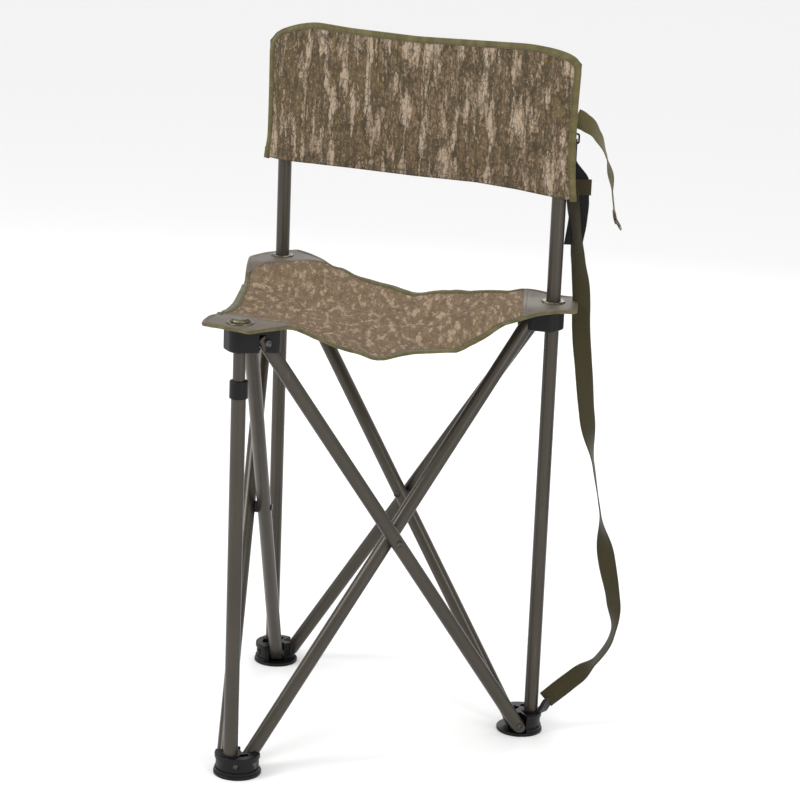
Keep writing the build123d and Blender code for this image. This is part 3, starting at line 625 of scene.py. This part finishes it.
# ---------------------------------------------------------------- the seat's fold
CORE_IN = 0.017             # cloth this far in from the leg stays flat on its hub
FOLDED_LEG_R = 0.0572       # the legs' circle when the stool is folded
STRIP_TURN = math.radians(20)
BUNDLE_DROP = math.radians(10)


def fold_piece(piece, corner, part):
    """Gives each seat piece but its hub's core its own copy of its mesh; the start and travel of its fold towards
    the hub are worked out but not used.
    """
    if part == "core":
        return
    inward = -OUT[corner]
    start = LEGS[corner] + inward * CORE_IN + UP * SEAT_Z
    if part == "middle":
        travel = (LEG_R - FOLDED_LEG_R) / math.cos(BUNDLE_DROP)
    else:
        sign = 1 if part == "after" else -1
        side = AROUND[corner] * sign
        middle = seat_point(bearing_of(OUT[corner]) + 60 * sign, 1.0)
        start = start + side * 0.02
        travel = (LEG_R - FOLDED_LEG_R) * math.sin(math.radians(60)) / math.sin(STRIP_TURN + math.radians(60))
        travel /= math.cos(BUNDLE_DROP)
    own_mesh(piece)


def split_seat(name, mesh, materials, node, slot, thickness=0.0):
    """Cuts a seat mesh into the parts that fold with each hub, and returns the new pieces."""
    for corner in HUBS:
        faces = [f for f in mesh.faces if nearest_corner(f.calc_center_median()) == corner]
        geometry = [*faces, *{e for f in faces for e in f.edges}, *{v for f in faces for v in f.verts}]
        line = LEGS[corner] - OUT[corner] * CORE_IN
        bmesh.ops.bisect_plane(mesh, geom=geometry, dist=1e-6, plane_co=line, plane_no=OUT[corner])

    def part_of(face):
        centre = face.calc_center_median()
        corner = nearest_corner(centre)
        plan = Vector((centre.x, centre.y, 0))
        away = plan - LEGS[corner]
        if -away.dot(OUT[corner]) < CORE_IN:
            return corner, "core"
        if (plan - CENTRE).length < plan_radius(bearing_of(plan - CENTRE)) * SPLIT_RHO:
            return corner, "middle"
        return corner, "after" if away.dot(AROUND[corner]) > 0 else "before"

    pieces = cut_apart(name, mesh, part_of, materials)
    for (corner, part), piece in pieces.items():
        if thickness:
            sharpen_rim(piece.data)
            solid = piece.modifiers.new("cloth_thickness", "SOLIDIFY")
            solid.thickness = thickness
            solid.offset = -1
        settle(piece, HUBS[corner], slot, node)
        fold_piece(piece, corner, part)
    return pieces.values()


def sharpen_rim(data):
    """Keeps the cut rim from bending the smooth shading of the cloth's face."""
    rim = bmesh.new()
    rim.from_mesh(data)
    for edge in rim.edges:
        edge.smooth = not edge.is_boundary
    rim.to_mesh(data)
    rim.free()


def cut_size(piece):
    """The flat cut of a seat piece, from its outline seen from above: its smallest rectangle and its area."""
    points = np.array([vert.co.xy for vert in piece.data.vertices])
    area = sum(face.area * abs(face.normal.z) for face in piece.data.polygons) * CUT_SLACK
    boxes = []
    for degrees in range(0, 90, 3):
        turn = math.radians(degrees)
        wide = np.ptp(points @ (math.cos(turn), math.sin(turn)))
        long = np.ptp(points @ (-math.sin(turn), math.cos(turn)))
        boxes.append((float(wide), float(long)))
    wide, long = min(boxes, key=lambda box: box[0] * box[1])
    grow = math.sqrt(CUT_SLACK)
    return (wide * grow, long * grow), area


def bias(point):
    """Cloth coordinates of a seat point: the print runs at an angle to the stool's front."""
    turn = math.radians(33)
    return (
        point.x * math.cos(turn) + point.y * math.sin(turn),
        point.y * math.cos(turn) - point.x * math.sin(turn),
    )


def open_round_post(mesh, corner, radius):
    """Deletes the faces that a post passes through."""
    hole = [f for f in mesh.faces if (Vector((*f.calc_center_median().xy, 0)) - LEGS[corner]).length < radius]
    bmesh.ops.delete(mesh, geom=hole, context="FACES")


def make_seat():
    mesh = bmesh.new()
    bearings = [-90 + 360 * k / SPOKES for k in range(SPOKES)]
    shares = [i / RINGS for i in range(1, RINGS + 1)]
    rings = [[seat_point(bearing, share) for bearing in bearings] for share in shares]
    uvs = [[bias(p) for p in [*ring, ring[0]]] for ring in rings]
    verts = skin(mesh, rings, uvs, closed=True)
    hub = mesh.verts.new(seat_point(0, 0.0))
    uv_layer = mesh.loops.layers.uv.verify()
    for j in range(SPOKES):
        face = mesh.faces.new([hub, verts[0][j], verts[0][(j + 1) % SPOKES]])
        for loop in face.loops:
            loop[uv_layer].uv = bias(loop.vert.co)
    for corner in ("rear_right", "rear_left"):
        open_round_post(mesh, corner, 0.0125)
    bmesh.ops.recalc_face_normals(mesh, faces=mesh.faces)
    pieces = split_seat("seat_cloth", mesh, ["blotch"], "seat_sling", "camo_fabric", 1.2 * MM)
    for piece in pieces:
        flat, area = cut_size(piece)


BINDING = (
    # in from the edge, above the cloth's face, in mm
    (9.4, -0.2), (9.2, 0.75), (6.5, 1.0), (3, 1.2), (0.6, 1.25), (-0.6, 0.8), (-1.1, -0.3),
    (-0.9, -1.6), (0.3, -2.5), (3, -2.6), (6.5, -2.4), (9.2, -2.1), (9.4, -1.2),
)


def make_seat_binding():
    """Tape folded over the sling's edge and sewn through, with the small puckers the stitches pull in."""
    mesh = bmesh.new()
    count = SPOKES * 3
    rings, uvs = [], []
    rows = {1.0: [], -2.45: []}
    along = 0.0
    last = None
    for k in range(count + 1):
        bearing = -90 + 360 * k / count
        edge = seat_point(bearing, 1.0)
        along += 0 if last is None else (edge - last).length
        last = edge
        pucker = 0.22 * math.sin(along / (3.1 * MM)) + 0.5 * noise.noise(Vector((along * 55, 0.4, 0)))
        wander = 0.6 * noise.noise(Vector((along * 30, 4.4, 0)))
        ring = []
        for inward, height in BINDING:
            puff = pucker * (0.5 if abs(inward) < 8 else 0.15)
            ring.append(off_edge(bearing, (inward + wander) * MM, (height + math.copysign(puff, height)) * MM))
        rings.append(ring)
        widths = np.cumsum([0] + [(b - a).length for a, b in zip(ring, ring[1:])])
        uvs.append([(along, width) for width in widths])
        for height, row in rows.items():
            normal = seat_normal(bearing, 0.985) * math.copysign(1, height)
            row.append((off_edge(bearing, 6.9 * MM, height * MM), normal))
    rings[-1] = rings[0]
    skin(mesh, rings, uvs)
    weld(mesh)
    for row in rows.values():
        add_stitches(mesh, *zip(*row))
    split_seat("seat_binding", mesh, ["tape", "thread"], "seat_binding", "olive_tape")


PATCH_IN = 0.040            # a patch's straight inner edge, in from the leg
PATCH_OUT = END_R - LEG_R
PATCH_ROWS, PATCH_COLUMNS = 40, 64
SEAM_IN = 0.0048            # the thread, in from a patch's edge


def patch_half_width(corner, depth, sign):
    """Half a patch's width at a depth in from the leg, on the side before (-1) or after (1) it."""
    facing = bearing_of(OUT[corner])
    low, high = 0.0, 60.0
    for _ in range(30):
        phi = (low + high) / 2
        if plan_radius(facing + sign * phi) * math.cos(math.radians(phi)) > LEG_R - depth:
            low = phi
        else:
            high = phi
    width = (LEG_R - depth) * math.tan(math.radians(low))
    if depth < -PATCH_OUT + 0.0005:
        width = END_HALF
    width -= 0.0015 * smooth(depth, -0.012, 0.036)
    round_off = 0.006
    into = max(0.0, depth - (PATCH_IN - round_off)) / round_off
    return width - round_off * (1 - math.sqrt(max(0.0, 1 - into * into)))


def on_patch(corner, depth, share, height):
    """A point over the seat, and its normal; share runs -1 to 1 across the patch."""
    sign = 1 if share > 0 else -1
    plan = LEGS[corner] - OUT[corner] * depth
    plan = plan + AROUND[corner] * (patch_half_width(corner, depth, sign) * share)
    away = plan - CENTRE
    bearing = bearing_of(away)
    inward = max(plan_radius(bearing) - away.length, -0.0003)
    base = (0.1 + 1.2 * (1 - smooth(inward, 8.6 * MM, 12.5 * MM))) * MM
    normal = seat_normal(bearing, min(1 - inward / plan_radius(bearing), 0.985))
    return off_edge(bearing, inward, base + height), normal


def patch_grids(corner):
    """Grids of a patch's upper and lower points and of its UVs."""
    top, low, uvs = [], [], []
    start = -PATCH_OUT + 0.0003
    for j in range(PATCH_ROWS + 1):
        depth = start + (PATCH_IN - start) * math.sin(math.pi / 2 * j / PATCH_ROWS)
        for grid in (top, low, uvs):
            grid.append([])
        for k in range(PATCH_COLUMNS + 1):
            share = math.sin(math.pi / 2 * (2 * k / PATCH_COLUMNS - 1))
            near_edge = min(PATCH_IN - depth, depth + PATCH_OUT, (1 - abs(share)) * 0.05)
            crown = 0.40 + 0.60 * smooth(near_edge, 0.0, 1.3 * MM)
            top[j].append(on_patch(corner, depth, share, crown * MM)[0])
            low[j].append(on_patch(corner, depth, share, 0.0)[0])
            uvs[j].append((share * 0.05, depth))
    return top, low, uvs


def patch_seams(corner):
    """The lines of thread round a patch, each a list of (depth, share)."""
    steps = [k / 60 for k in range(61)]
    inner = [(PATCH_IN - SEAM_IN, -0.9 + 1.8 * k) for k in steps]
    outer = [(-PATCH_OUT + SEAM_IN, -0.86 + 1.72 * k) for k in steps]
    depths = [-PATCH_OUT + SEAM_IN + (PATCH_IN + PATCH_OUT - 2 * SEAM_IN) * k for k in steps]
    sides = [
        [(depth, side * (1 - SEAM_IN / patch_half_width(corner, depth, side))) for depth in depths]
        for side in (-1, 1)
    ]
    return [inner, outer, *sides]


def make_patches():
    """Coated patches that cap the three corners, sewn round their edge."""
    for corner in HUBS:
        mesh = bmesh.new()
        top, low, uvs = patch_grids(corner)
        for grid in (top, low):
            skin(mesh, grid, uvs)
        for j in (0, PATCH_ROWS):
            skin(mesh, [top[j], low[j]])
        for k in (0, PATCH_COLUMNS):
            skin(mesh, [[row[k] for row in grid] for grid in (top, low)])
        weld(mesh)
        if corner != "front":
            open_round_post(mesh, corner, 0.012)
        bmesh.ops.recalc_face_normals(mesh, faces=mesh.faces)
        for row in patch_seams(corner):
            spots = [on_patch(corner, depth, share, 1.0 * MM) for depth, share in row]
            add_stitches(mesh, *zip(*spots))
        split_seat("seat_patch", mesh, ["vinyl", "taupe_thread"], f"seat_patch_{corner}", "vinyl_patch")


# ---------------------------------------------------------------- the backrest
SEAM_X = 0.171              # the sewn line that closes each post's sleeve
SIDE_X = 0.249
HEM_SEAM = 0.0065           # the hem's line of thread, above the backrest's lower edge
KEEP_X = POST_X - 0.014     # cloth outside this stays on its post when the stool folds
FRONT_Y = -0.0108           # the cloth's front and back faces, from the posts' plane
BEHIND_Y = 0.0108
TOP_POINTS = (
    (-0.249, 0.905), (-0.243, 0.918), (-0.225, 0.928), (-0.198, 0.9355), (-0.169, 0.940), (-0.113, 0.937),
    (0.0, 0.9355), (0.1, 0.939), (0.174, 0.9415), (0.205, 0.9385), (0.23, 0.934), (0.244, 0.929), (0.249, 0.919),
)
BOTTOM_POINTS = (
    (-0.25, 0.7445), (-0.2, 0.744), (-0.11, 0.7465), (0, 0.7485), (0.1, 0.752), (0.16, 0.7505), (0.25, 0.745),
)


def through(points, x):
    """A smooth height through a few (x, z) points."""
    xs, zs = zip(*points)
    return sum(np.interp(x + shift, xs, zs) for shift in (-0.006, -0.003, 0, 0.003, 0.006)) / 5


def side_x(sign, z):
    """The backrest's side edges, which draw in a little at half height."""
    waist = 0.0035 * math.sin(math.pi * (z - 0.745) / 0.19)
    flare = (0.002 if sign > 0 else 0.005) * (1 - smooth(z, 0.745, 0.775))
    return sign * (SIDE_X + flare - waist if sign > 0 else SIDE_X + 0.0025 + flare - waist * 0.3)


def bow(distance, bend=0.005):
    """How far a cloth drawn over a post falls away from it, for a slope of one."""
    return math.sqrt(distance * distance + bend * bend) - bend


def cover_y(x, z, front):
    """Depth of the backrest's front or back layer from the posts' plane."""
    sign = 1 if x > 0 else -1
    past = abs(x) - POST_X
    edge = -0.0040
    to_side = abs(side_x(sign, z)) - abs(x)
    to_top = through(TOP_POINTS, x) - z
    if front:
        depth = FRONT_Y
        if past > 0:
            depth += bow(past) / bow(SIDE_X - POST_X) * (edge - 0.0012 - FRONT_Y)
        rim = -0.0012
    else:
        flat = FRONT_Y + 0.0024
        if abs(x) < SEAM_X:
            depth = flat
        elif past < 0:
            depth = BEHIND_Y - bow(past) / bow(POST_X - SEAM_X) * (BEHIND_Y - flat)
        else:
            depth = BEHIND_Y - bow(past) / bow(SIDE_X - POST_X) * (BEHIND_Y - edge - 0.0012)
        rim = 0.0012
    swell = noise.noise(Vector((x * 11, z * 13, 0.5))) * 1.3 * MM
    swell += noise.noise(Vector((x * 34, z * 22, 2.5))) * 0.5 * MM
    pull = 0.9 * MM * math.exp(-(((abs(x) - SEAM_X) / 0.004) ** 2))
    depth += swell * smooth(abs(past), 0.010, 0.04) + (pull if front else 0.0)
    middle = edge + (-0.0092 - edge) * (1 - smooth(abs(x), 0.165, 0.215))
    closing = max(1 - smooth(to_top, 0.0005, 0.0065), 1 - smooth(to_side, 0.0005, 0.010))
    return BACK_Y + depth * (1 - closing) + (middle + rim) * closing


def cover_point(u, v, front):
    """u runs across from left to right and v up, both 0 to 1."""
    x = -SIDE_X + 2 * SIDE_X * u
    z = through(BOTTOM_POINTS, x) * (1 - v) + through(TOP_POINTS, x) * v
    x = side_x(1 if x > 0 else -1, z) * abs(x) / SIDE_X
    return Vector((x, cover_y(x, z, front), z))


def split_back(name, mesh, materials, node, slot):
    """Cuts a backrest mesh beside its seams: the ends ride on the posts, and the middle rides on the same body as
    the right end and gets its own copy of its mesh.
    """
    for x in (-KEEP_X, KEEP_X):
        geometry = [*mesh.faces, *mesh.edges, *mesh.verts]
        bmesh.ops.bisect_plane(mesh, geom=geometry, dist=1e-6, plane_co=(x, 0, 0), plane_no=(1, 0, 0))

    def part_of(face):
        x = face.calc_center_median().x
        return ("left",) if x < -KEEP_X else ("right",) if x > KEEP_X else ("middle",)

    pieces = cut_apart(name, mesh, part_of, materials)
    for (part,), piece in pieces.items():
        settle(piece, "rear_left_leg" if part == "left" else ROOT, slot, node)
        if part == "middle":
            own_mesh(piece)
    return pieces


def make_backrest():
    mesh = bmesh.new()
    across, rows = 170, 64
    hem = ((14, 1.5), (9, 1.5), (3, 1.4), (0.6, 1.2), (0, 0.6))
    for front in (True, False):
        rings, uvs = [], []
        for up, tuck in hem:
            ring = [cover_point(k / across, 0, front) for k in range(across + 1)]
            inner = tuck * MM * (1 if front else -1)
            rings.append([p + Vector((0, inner, up * MM)) for p in ring])
            uvs.append([(p.x, p.z - (up + 1) * MM) for p in ring])
        for j in range(rows + 1):
            ring = [cover_point(k / across, j / rows, front) for k in range(across + 1)]
            rings.append(ring)
            uvs.append([(p.x if front else p.x + 0.9, p.z) for p in ring])
        skin(mesh, rings, uvs)
    bmesh.ops.recalc_face_normals(mesh, faces=mesh.faces)
    for front in (True, False):
        out = Vector((0, -1 if front else 1, 0))
        hem_line = [cover_point(k / 400, 0, front) for k in range(4, 397)]
        lines = [[(p.x, p.z + HEM_SEAM) for p in hem_line]]
        for x in (-SEAM_X, SEAM_X):
            low, high = through(BOTTOM_POINTS, x) + 0.003, through(TOP_POINTS, x) - 0.008
            lines.append([(x, low + (high - low) * k / 90) for k in range(91)])
        for line in lines:
            points = [Vector((x, cover_y(x, z, front), z)) + out * 0.0002 for x, z in line]
            add_stitches(mesh, points, [out] * len(points))
    pieces = split_back("backrest_cloth", mesh, ["bark", "thread"], "backrest_cover", "camo_fabric")


def back_outline():
    """Points round the two sides and the top of the backrest, from its left foot to its right foot."""
    sides = {}
    for sign in (-1, 1):
        low = through(BOTTOM_POINTS, sign * SIDE_X) - 0.001
        high = through(TOP_POINTS, sign * SIDE_X)
        heights = [low + (high - low) * k / 40 for k in range(40)]
        sides[sign] = [(side_x(sign, z), z) for z in heights]
    across = [-SIDE_X + 2 * SIDE_X * k / 130 for k in range(131)]
    top = [(x, through(TOP_POINTS, x)) for x in across]
    line = np.array([*sides[-1], *top, *reversed(sides[1])])
    for _ in range(6):
        line[1:-1] = (line[:-2] + line[1:-1] * 2 + line[2:]) / 4
    return line


BACK_BINDING = (
    # share of the tape's width in from the edge, and height above the cloth in mm
    (1.0, 0.1), (0.97, 0.95), (0.7, 1.25), (0.35, 1.3), (0.1, 1.25), (-0.02, 0.9),
)


def make_back_binding():
    """Tape over the backrest's sides and top."""
    mesh = bmesh.new()
    line = back_outline()
    steps = np.concatenate(([0], np.cumsum(np.linalg.norm(np.diff(line, axis=0), axis=1))))
    count = int(steps[-1] / 0.0016)
    spots = [steps[-1] * k / count for k in range(count + 1)]
    line = np.array([[np.interp(s, steps, line[:, 0]), np.interp(s, steps, line[:, 1])] for s in spots])
    tangent = np.gradient(line, axis=0)
    rings, uvs = [], []
    rows = {True: [], False: []}
    for (x, z), (tx, tz), along in zip(line, tangent, spots):
        ahead = Vector((tx, 0, tz)).normalized()
        inward = Vector((ahead.z, 0, -ahead.x))
        pucker = 0.2 * math.sin(along / (3.2 * MM)) + 0.4 * noise.noise(Vector((along * 50, 1.4, 0)))
        wide = 7.6 + 0.8 * noise.noise(Vector((along * 25, 8.4, 0)))
        ring = []
        edge = Vector((x, BACK_Y, z))
        for front in (True, False):
            side = -1 if front else 1
            strip = []
            for share, height in BACK_BINDING:
                spot = edge + inward * (share * wide * MM)
                over = spot if share > 0.02 else edge + inward * (0.5 * MM)
                level = cover_y(over.x, over.z, front)
                puff = pucker * (0.55 if 0.05 < share < 0.9 else 0.1)
                strip.append(Vector((spot.x, level + side * (height + puff) * MM, spot.z)))
            ring += strip if front else strip[::-1]
            spot = edge + inward * 0.0055
            rows[front].append(Vector((spot.x, cover_y(spot.x, spot.z, front) + side * 1.25 * MM, spot.z)))
        crown = edge - inward * 0.0011
        crown.y = (ring[5].y + ring[6].y) / 2
        ring.insert(6, crown)
        rings.append(ring)
        widths = np.cumsum([0] + [(b - a).length for a, b in zip(ring, ring[1:])])
        uvs.append([(along, width) for width in widths])
    skin(mesh, rings, uvs)
    for ring in (rings[0], rings[-1]):
        mesh.faces.new([mesh.verts.new(p) for p in ring])
    weld(mesh)
    for front, points in rows.items():
        add_stitches(mesh, points, [Vector((0, -1 if front else 1, 0))] * len(points))
    split_back("backrest_tape", mesh, ["tape", "thread"], "backrest_binding", "olive_tape")


# ---------------------------------------------------------------- webbing
REAR_OUT = OUT["rear_right"]
REAR_ROUND = AROUND["rear_right"]


def rear_point(out, back, z):
    """A point beside the right rear post, in mm: out from the tripod, back behind the post."""
    return LEGS["rear_right"] + REAR_OUT * (out * MM) + REAR_ROUND * (back * MM) + UP * (z * MM)


def route_line(name, points):
    """Close points along the smooth NURBS line of a strap's route."""
    curve = bpy.data.curves.new(name, "CURVE")
    curve.dimensions = "3D"
    spline = curve.splines.new("NURBS")
    spline.points.add(len(points) - 1)
    for point, place in zip(spline.points, points):
        point.co = (*place, 1)
    spline.order_u = 3
    spline.use_endpoint_u = True
    spline.resolution_u = 64
    carrier = bpy.data.objects.new(name, curve)
    line = bpy.data.meshes.new_from_object(carrier)
    found = [v.co.copy() for v in line.vertices]
    bpy.data.meshes.remove(line)
    bpy.data.objects.remove(carrier)
    bpy.data.curves.remove(curve)
    return found


def evenly(line, step):
    """The line again with points about step apart, and each one's share of the length."""
    array = np.array(line)
    steps = np.concatenate(([0], np.cumsum(np.linalg.norm(np.diff(array, axis=0), axis=1))))
    count = int(steps[-1] / step)
    spots = np.linspace(0, steps[-1], count + 1)
    points = [Vector([np.interp(s, steps, array[:, k]) for k in range(3)]) for s in spots]
    return points, spots


STRIP = [(k / 8, 1) for k in range(-8, 9)] + [(k / 8, -1) for k in range(8, -9, -1)]
TOOTH_PITCH = 2.4 * MM      # the weft's turns along a webbing's edges


def tooth(spot, height):
    """How far the weft's turns push a webbing's edge out at a place along it."""
    return height * math.sin(spot / TOOTH_PITCH * 2 * math.pi)


def webbing_uvs(spot, width):
    return [(spot, (s * t + 1) * width / 2) for s, t in [*STRIP, STRIP[0]]]


def ribbon(points, spots, across, width, thick, narrowing):
    """Flat webbing along points; across gives its width direction at each one."""
    mesh = bmesh.new()
    rings, uvs = [], []
    for k, (point, spot) in enumerate(zip(points, spots)):
        ahead = (points[min(k + 1, len(points) - 1)] - points[max(k - 1, 0)]).normalized()
        side = across[k] - ahead * across[k].dot(ahead)
        side.normalize()
        face = ahead.cross(side)
        wide = width / 2 * (1 - narrowing * spot / spots[-1]) + tooth(spot, 0.28 * MM)
        cup = 0.6 * MM * noise.noise(Vector((spot * 14, width, 0)))
        ring = []
        for s, t in STRIP:
            round_off = math.sqrt(max(0.0, 1 - abs(s) ** 8)) * 0.75 + 0.25
            ring.append(point + side * (wide * s) + face * (t * thick / 2 * round_off + cup * (1 - s * s)))
        rings.append(ring)
        uvs.append(webbing_uvs(spot, width))
    verts = skin(mesh, rings, uvs, closed=True)
    for end in (verts[0], verts[-1]):
        mesh.faces.new(end)
    return mesh


def turned(points, stations, spots):
    """Width directions from twist angles in degrees: 0 lies round the tripod, 90 lies in the strap's own plane."""
    found = []
    for k, spot in enumerate(spots):
        ahead = (points[min(k + 1, len(points) - 1)] - points[max(k - 1, 0)]).normalized()
        flat = (REAR_ROUND - ahead * REAR_ROUND.dot(ahead)).normalized()
        share = spot / spots[-1]
        angle = math.radians(smooth_between(share, stations))
        found.append(flat * math.cos(angle) + ahead.cross(flat) * math.sin(angle))
    return found


def smooth_between(value, stations):
    """Eased interpolation through (place, value) stations."""
    for (a, low), (b, high) in zip(stations, stations[1:]):
        if value <= b:
            return low + (high - low) * smooth(value, a, b)
    return stations[-1][1]


CARRY_ROUTE = (
    # out, back, z and the way the webbing faces there
    (14, 9.5, 768, -46), (19, 9.5, 733, -42), (25, 9, 700, -34), (29, 8, 664, -50), (37, 7, 620, -75),
    (38, 6, 570, -90), (46, 5, 512, -108), (53, 4, 450, -122), (66, 3, 385, -176), (79, 2, 318, -184),
    (91, 1, 252, -256), (105, 0, 195, -232), (109, -1, 145, -190),
    (86, -1, 106, -187), (59, 0, 82, -238), (19.5, 0, 45, -268),
)
HOOK_ROUTE = (
    (16.2, 12, 850, 90), (31, 12, 844, 58), (46, 11, 829, 27), (58, 10, 805, 3), (66, 9, 778, -19),
    (70, 9, 750, 2), (74.2, 9, 723, 2),
)


def twists(route, points, spots):
    """The route's twist angles placed at the nearest share of the real line."""
    found = []
    for out, back, z, angle in route:
        place = rear_point(out, back, z)
        nearest = min(range(len(points)), key=lambda k: (points[k] - place).length)
        found.append((spots[nearest] / spots[-1], angle))
    found[0] = (0.0, found[0][1])
    found[-1] = (1.0, found[-1][1])
    return found


def strap_of(name, route, node, material, width, thick, narrowing=0.0):
    """One strap along its route, with the line that it follows."""
    line = route_line(name, [rear_point(*place[:3]) for place in route])
    points, spots = evenly(line, 0.6 * MM)
    across = turned(points, twists(route, points, spots), spots)
    strap = finish_mesh(name, ribbon(points, spots, across, width, thick, narrowing), [material])
    settle(strap, ROOT, "olive_webbing", node)
    return strap, [tuple(p) for p in [*points[::4], points[-1]]]


def make_straps():
    """The carry strap down to the right foot, and the short strap with the wire loop."""
    strap, path = strap_of("carry_strap_webbing", CARRY_ROUTE, "carry_strap", "olive", 24.5 * MM, 1.7 * MM)
    rear_point(*CARRY_ROUTE[0][:3])
    make_foot_loop()
    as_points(path)
    strap, path = strap_of("hook_strap_webbing", HOOK_ROUTE, "hook_strap", "pale_olive", 24.5 * MM, 1.6 * MM, 0.04)
    rear_point(*HOOK_ROUTE[0][:3])
    make_loop_fold(Vector(path[-1]))
    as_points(path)


def closed_band(name, material, centre, along, across, long, tall, width, thick):
    """A sewn loop of flat webbing: an oval of the given length and height, seen along across."""
    normal = along.cross(across)
    count = 64
    points = []
    for k in range(count + 1):
        turn = 2 * math.pi * k / count
        x = math.copysign(abs(math.cos(turn)) ** 0.8, math.cos(turn)) * (long - thick) / 2
        y = math.copysign(abs(math.sin(turn)) ** 0.8, math.sin(turn)) * (tall - thick) / 2
        points.append(centre + along * x + normal * y)
    points, spots = evenly(points, 0.7 * MM)
    mesh = bmesh.new()
    rings, uvs = [], []
    for k in range(len(points) - 1):
        ahead = (points[(k + 1) % (len(points) - 1)] - points[k - 1 if k else -2]).normalized()
        face = ahead.cross(across).normalized()
        wide = width / 2 + tooth(spots[k], 0.25 * MM)
        rings.append([points[k] + across * (wide * s) + face * (t * thick / 2) for s, t in STRIP])
        uvs.append(webbing_uvs(spots[k], width))
    rings.append(rings[0])
    uvs.append(uvs[0])
    skin(mesh, rings, uvs, closed=True)
    bmesh.ops.remove_doubles(mesh, verts=mesh.verts, dist=1e-7)
    return finish_mesh(name, mesh, [material])


def make_foot_loop():
    """Black webbing sewn round the strap's end and held on the right foot."""
    turn = math.radians(65)
    centre = LEGS["rear_right"] + REAR_OUT * 0.0195 + UP * 0.037
    along = REAR_OUT * math.cos(turn) + UP * math.sin(turn)
    across = (REAR_ROUND * 0.8 + REAR_OUT * 0.6).normalized()
    loop = closed_band("foot_loop_webbing", "black_web", centre, along, across, 0.026, 0.0052, 0.020, 1.7 * MM)
    settle(loop, ROOT, "black_webbing", "foot_strap_loop")
    return loop


def make_loop_fold(end):
    """The strap's end folded round the wire loop's bar and sewn."""
    down = (REAR_OUT * 0.25 - UP * 0.97).normalized()
    centre = end + down * 0.0005
    fold = closed_band("hook_strap_fold", "pale_olive", centre, down, REAR_ROUND, 0.0165, 0.0044, 0.0235, 1.3 * MM)
    settle(fold, ROOT, "olive_webbing")
    return fold


def outline_panel(name, materials, left, right, back, thick, node, slot, stitched=()):
    """A flat strip of webbing behind the right post between two edge lines of (out, z) points in mm."""
    mesh = bmesh.new()
    rows = 90

    def edge(points, z):
        zs, outs = [p[1] for p in reversed(points)], [p[0] for p in reversed(points)]
        return sum(np.interp(z + shift, zs, outs) for shift in (-4, -2, 0, 2, 4)) / 5

    rings, uvs = [], []
    for j in range(rows + 1):
        z = left[0][1] + (left[-1][1] - left[0][1]) * j / rows
        a, b = edge(left, z), edge(right, z)
        wide = (b - a) / 2 + tooth(z * MM, 0.22)
        wave = 1.2 * noise.noise(Vector((z * 0.03, 0.7, 0))) * smooth(j / rows, 0.2, 0.6)
        rings.append([rear_point((a + b) / 2 + wide * s, back + wave * s + t * thick / 2, z) for s, t in STRIP])
        uvs.append([(z * MM, (k / 8) * 12.5 * MM) for k in [*range(17)] * 2] + [(z * MM, 0)])
    verts = skin(mesh, rings, uvs, closed=True)
    for end in (verts[0], verts[-1]):
        mesh.faces.new(end)
    bmesh.ops.recalc_face_normals(mesh, faces=mesh.faces)
    for (out_a, z_a), (out_b, z_b) in stitched:
        steps = [k / 20 for k in range(21)]
        for side in (1, -1):
            face = back + side * thick / 2
            line = [rear_point(out_a + (out_b - out_a) * k, face, z_a + (z_b - z_a) * k) for k in steps]
            add_stitches(mesh, line, [REAR_ROUND * side] * 21)
    settle(finish_mesh(name, mesh, materials), ROOT, slot, node)


def make_hardware():
    """The webbing bits behind the right post: the ring's tab, the closing strap and its keeper."""
    left = ((15.6, 792.5), (12.5, 772), (15, 735), (13.5, 712), (9.5, 681))
    right = ((19.4, 792.5), (37.5, 772), (40, 735), (38, 706), (34, 681))
    cloth = ["black_web", "thread"]
    outline_panel("closing_strap", cloth, left, right, 16.0, 1.8, "closing_webbing", "black_webbing")
    left = ((-5.6, 865), (-5.6, 831), (-4.8, 827))
    right = ((12.6, 865), (12.6, 831), (11.8, 827))
    box = (((-4, 862), (11, 862)), ((-4, 838), (11, 838)), ((-4, 862), (-4, 838)), ((11, 862), (11, 838)))
    cloth = ["olive", "thread"]
    outline_panel("ring_tab_webbing", cloth, left, right, 16.4, 3.2, "d_ring_tab", "olive_webbing", box)
    centre = rear_point(26.5, 16.0, 758.5)
    band = closed_band("keeper_webbing", "olive", centre, REAR_OUT, UP, 0.0305, 0.0052, 0.021, 1.2 * MM)
    settle(band, ROOT, "olive_webbing", "strap_keeper")


# ---------------------------------------------------------------- the whole
make_camera()
make_studio()
paint_nodes()
make_straps()
make_hardware()
make_seat()
make_seat_binding()
make_patches()
make_backrest()
make_back_binding()
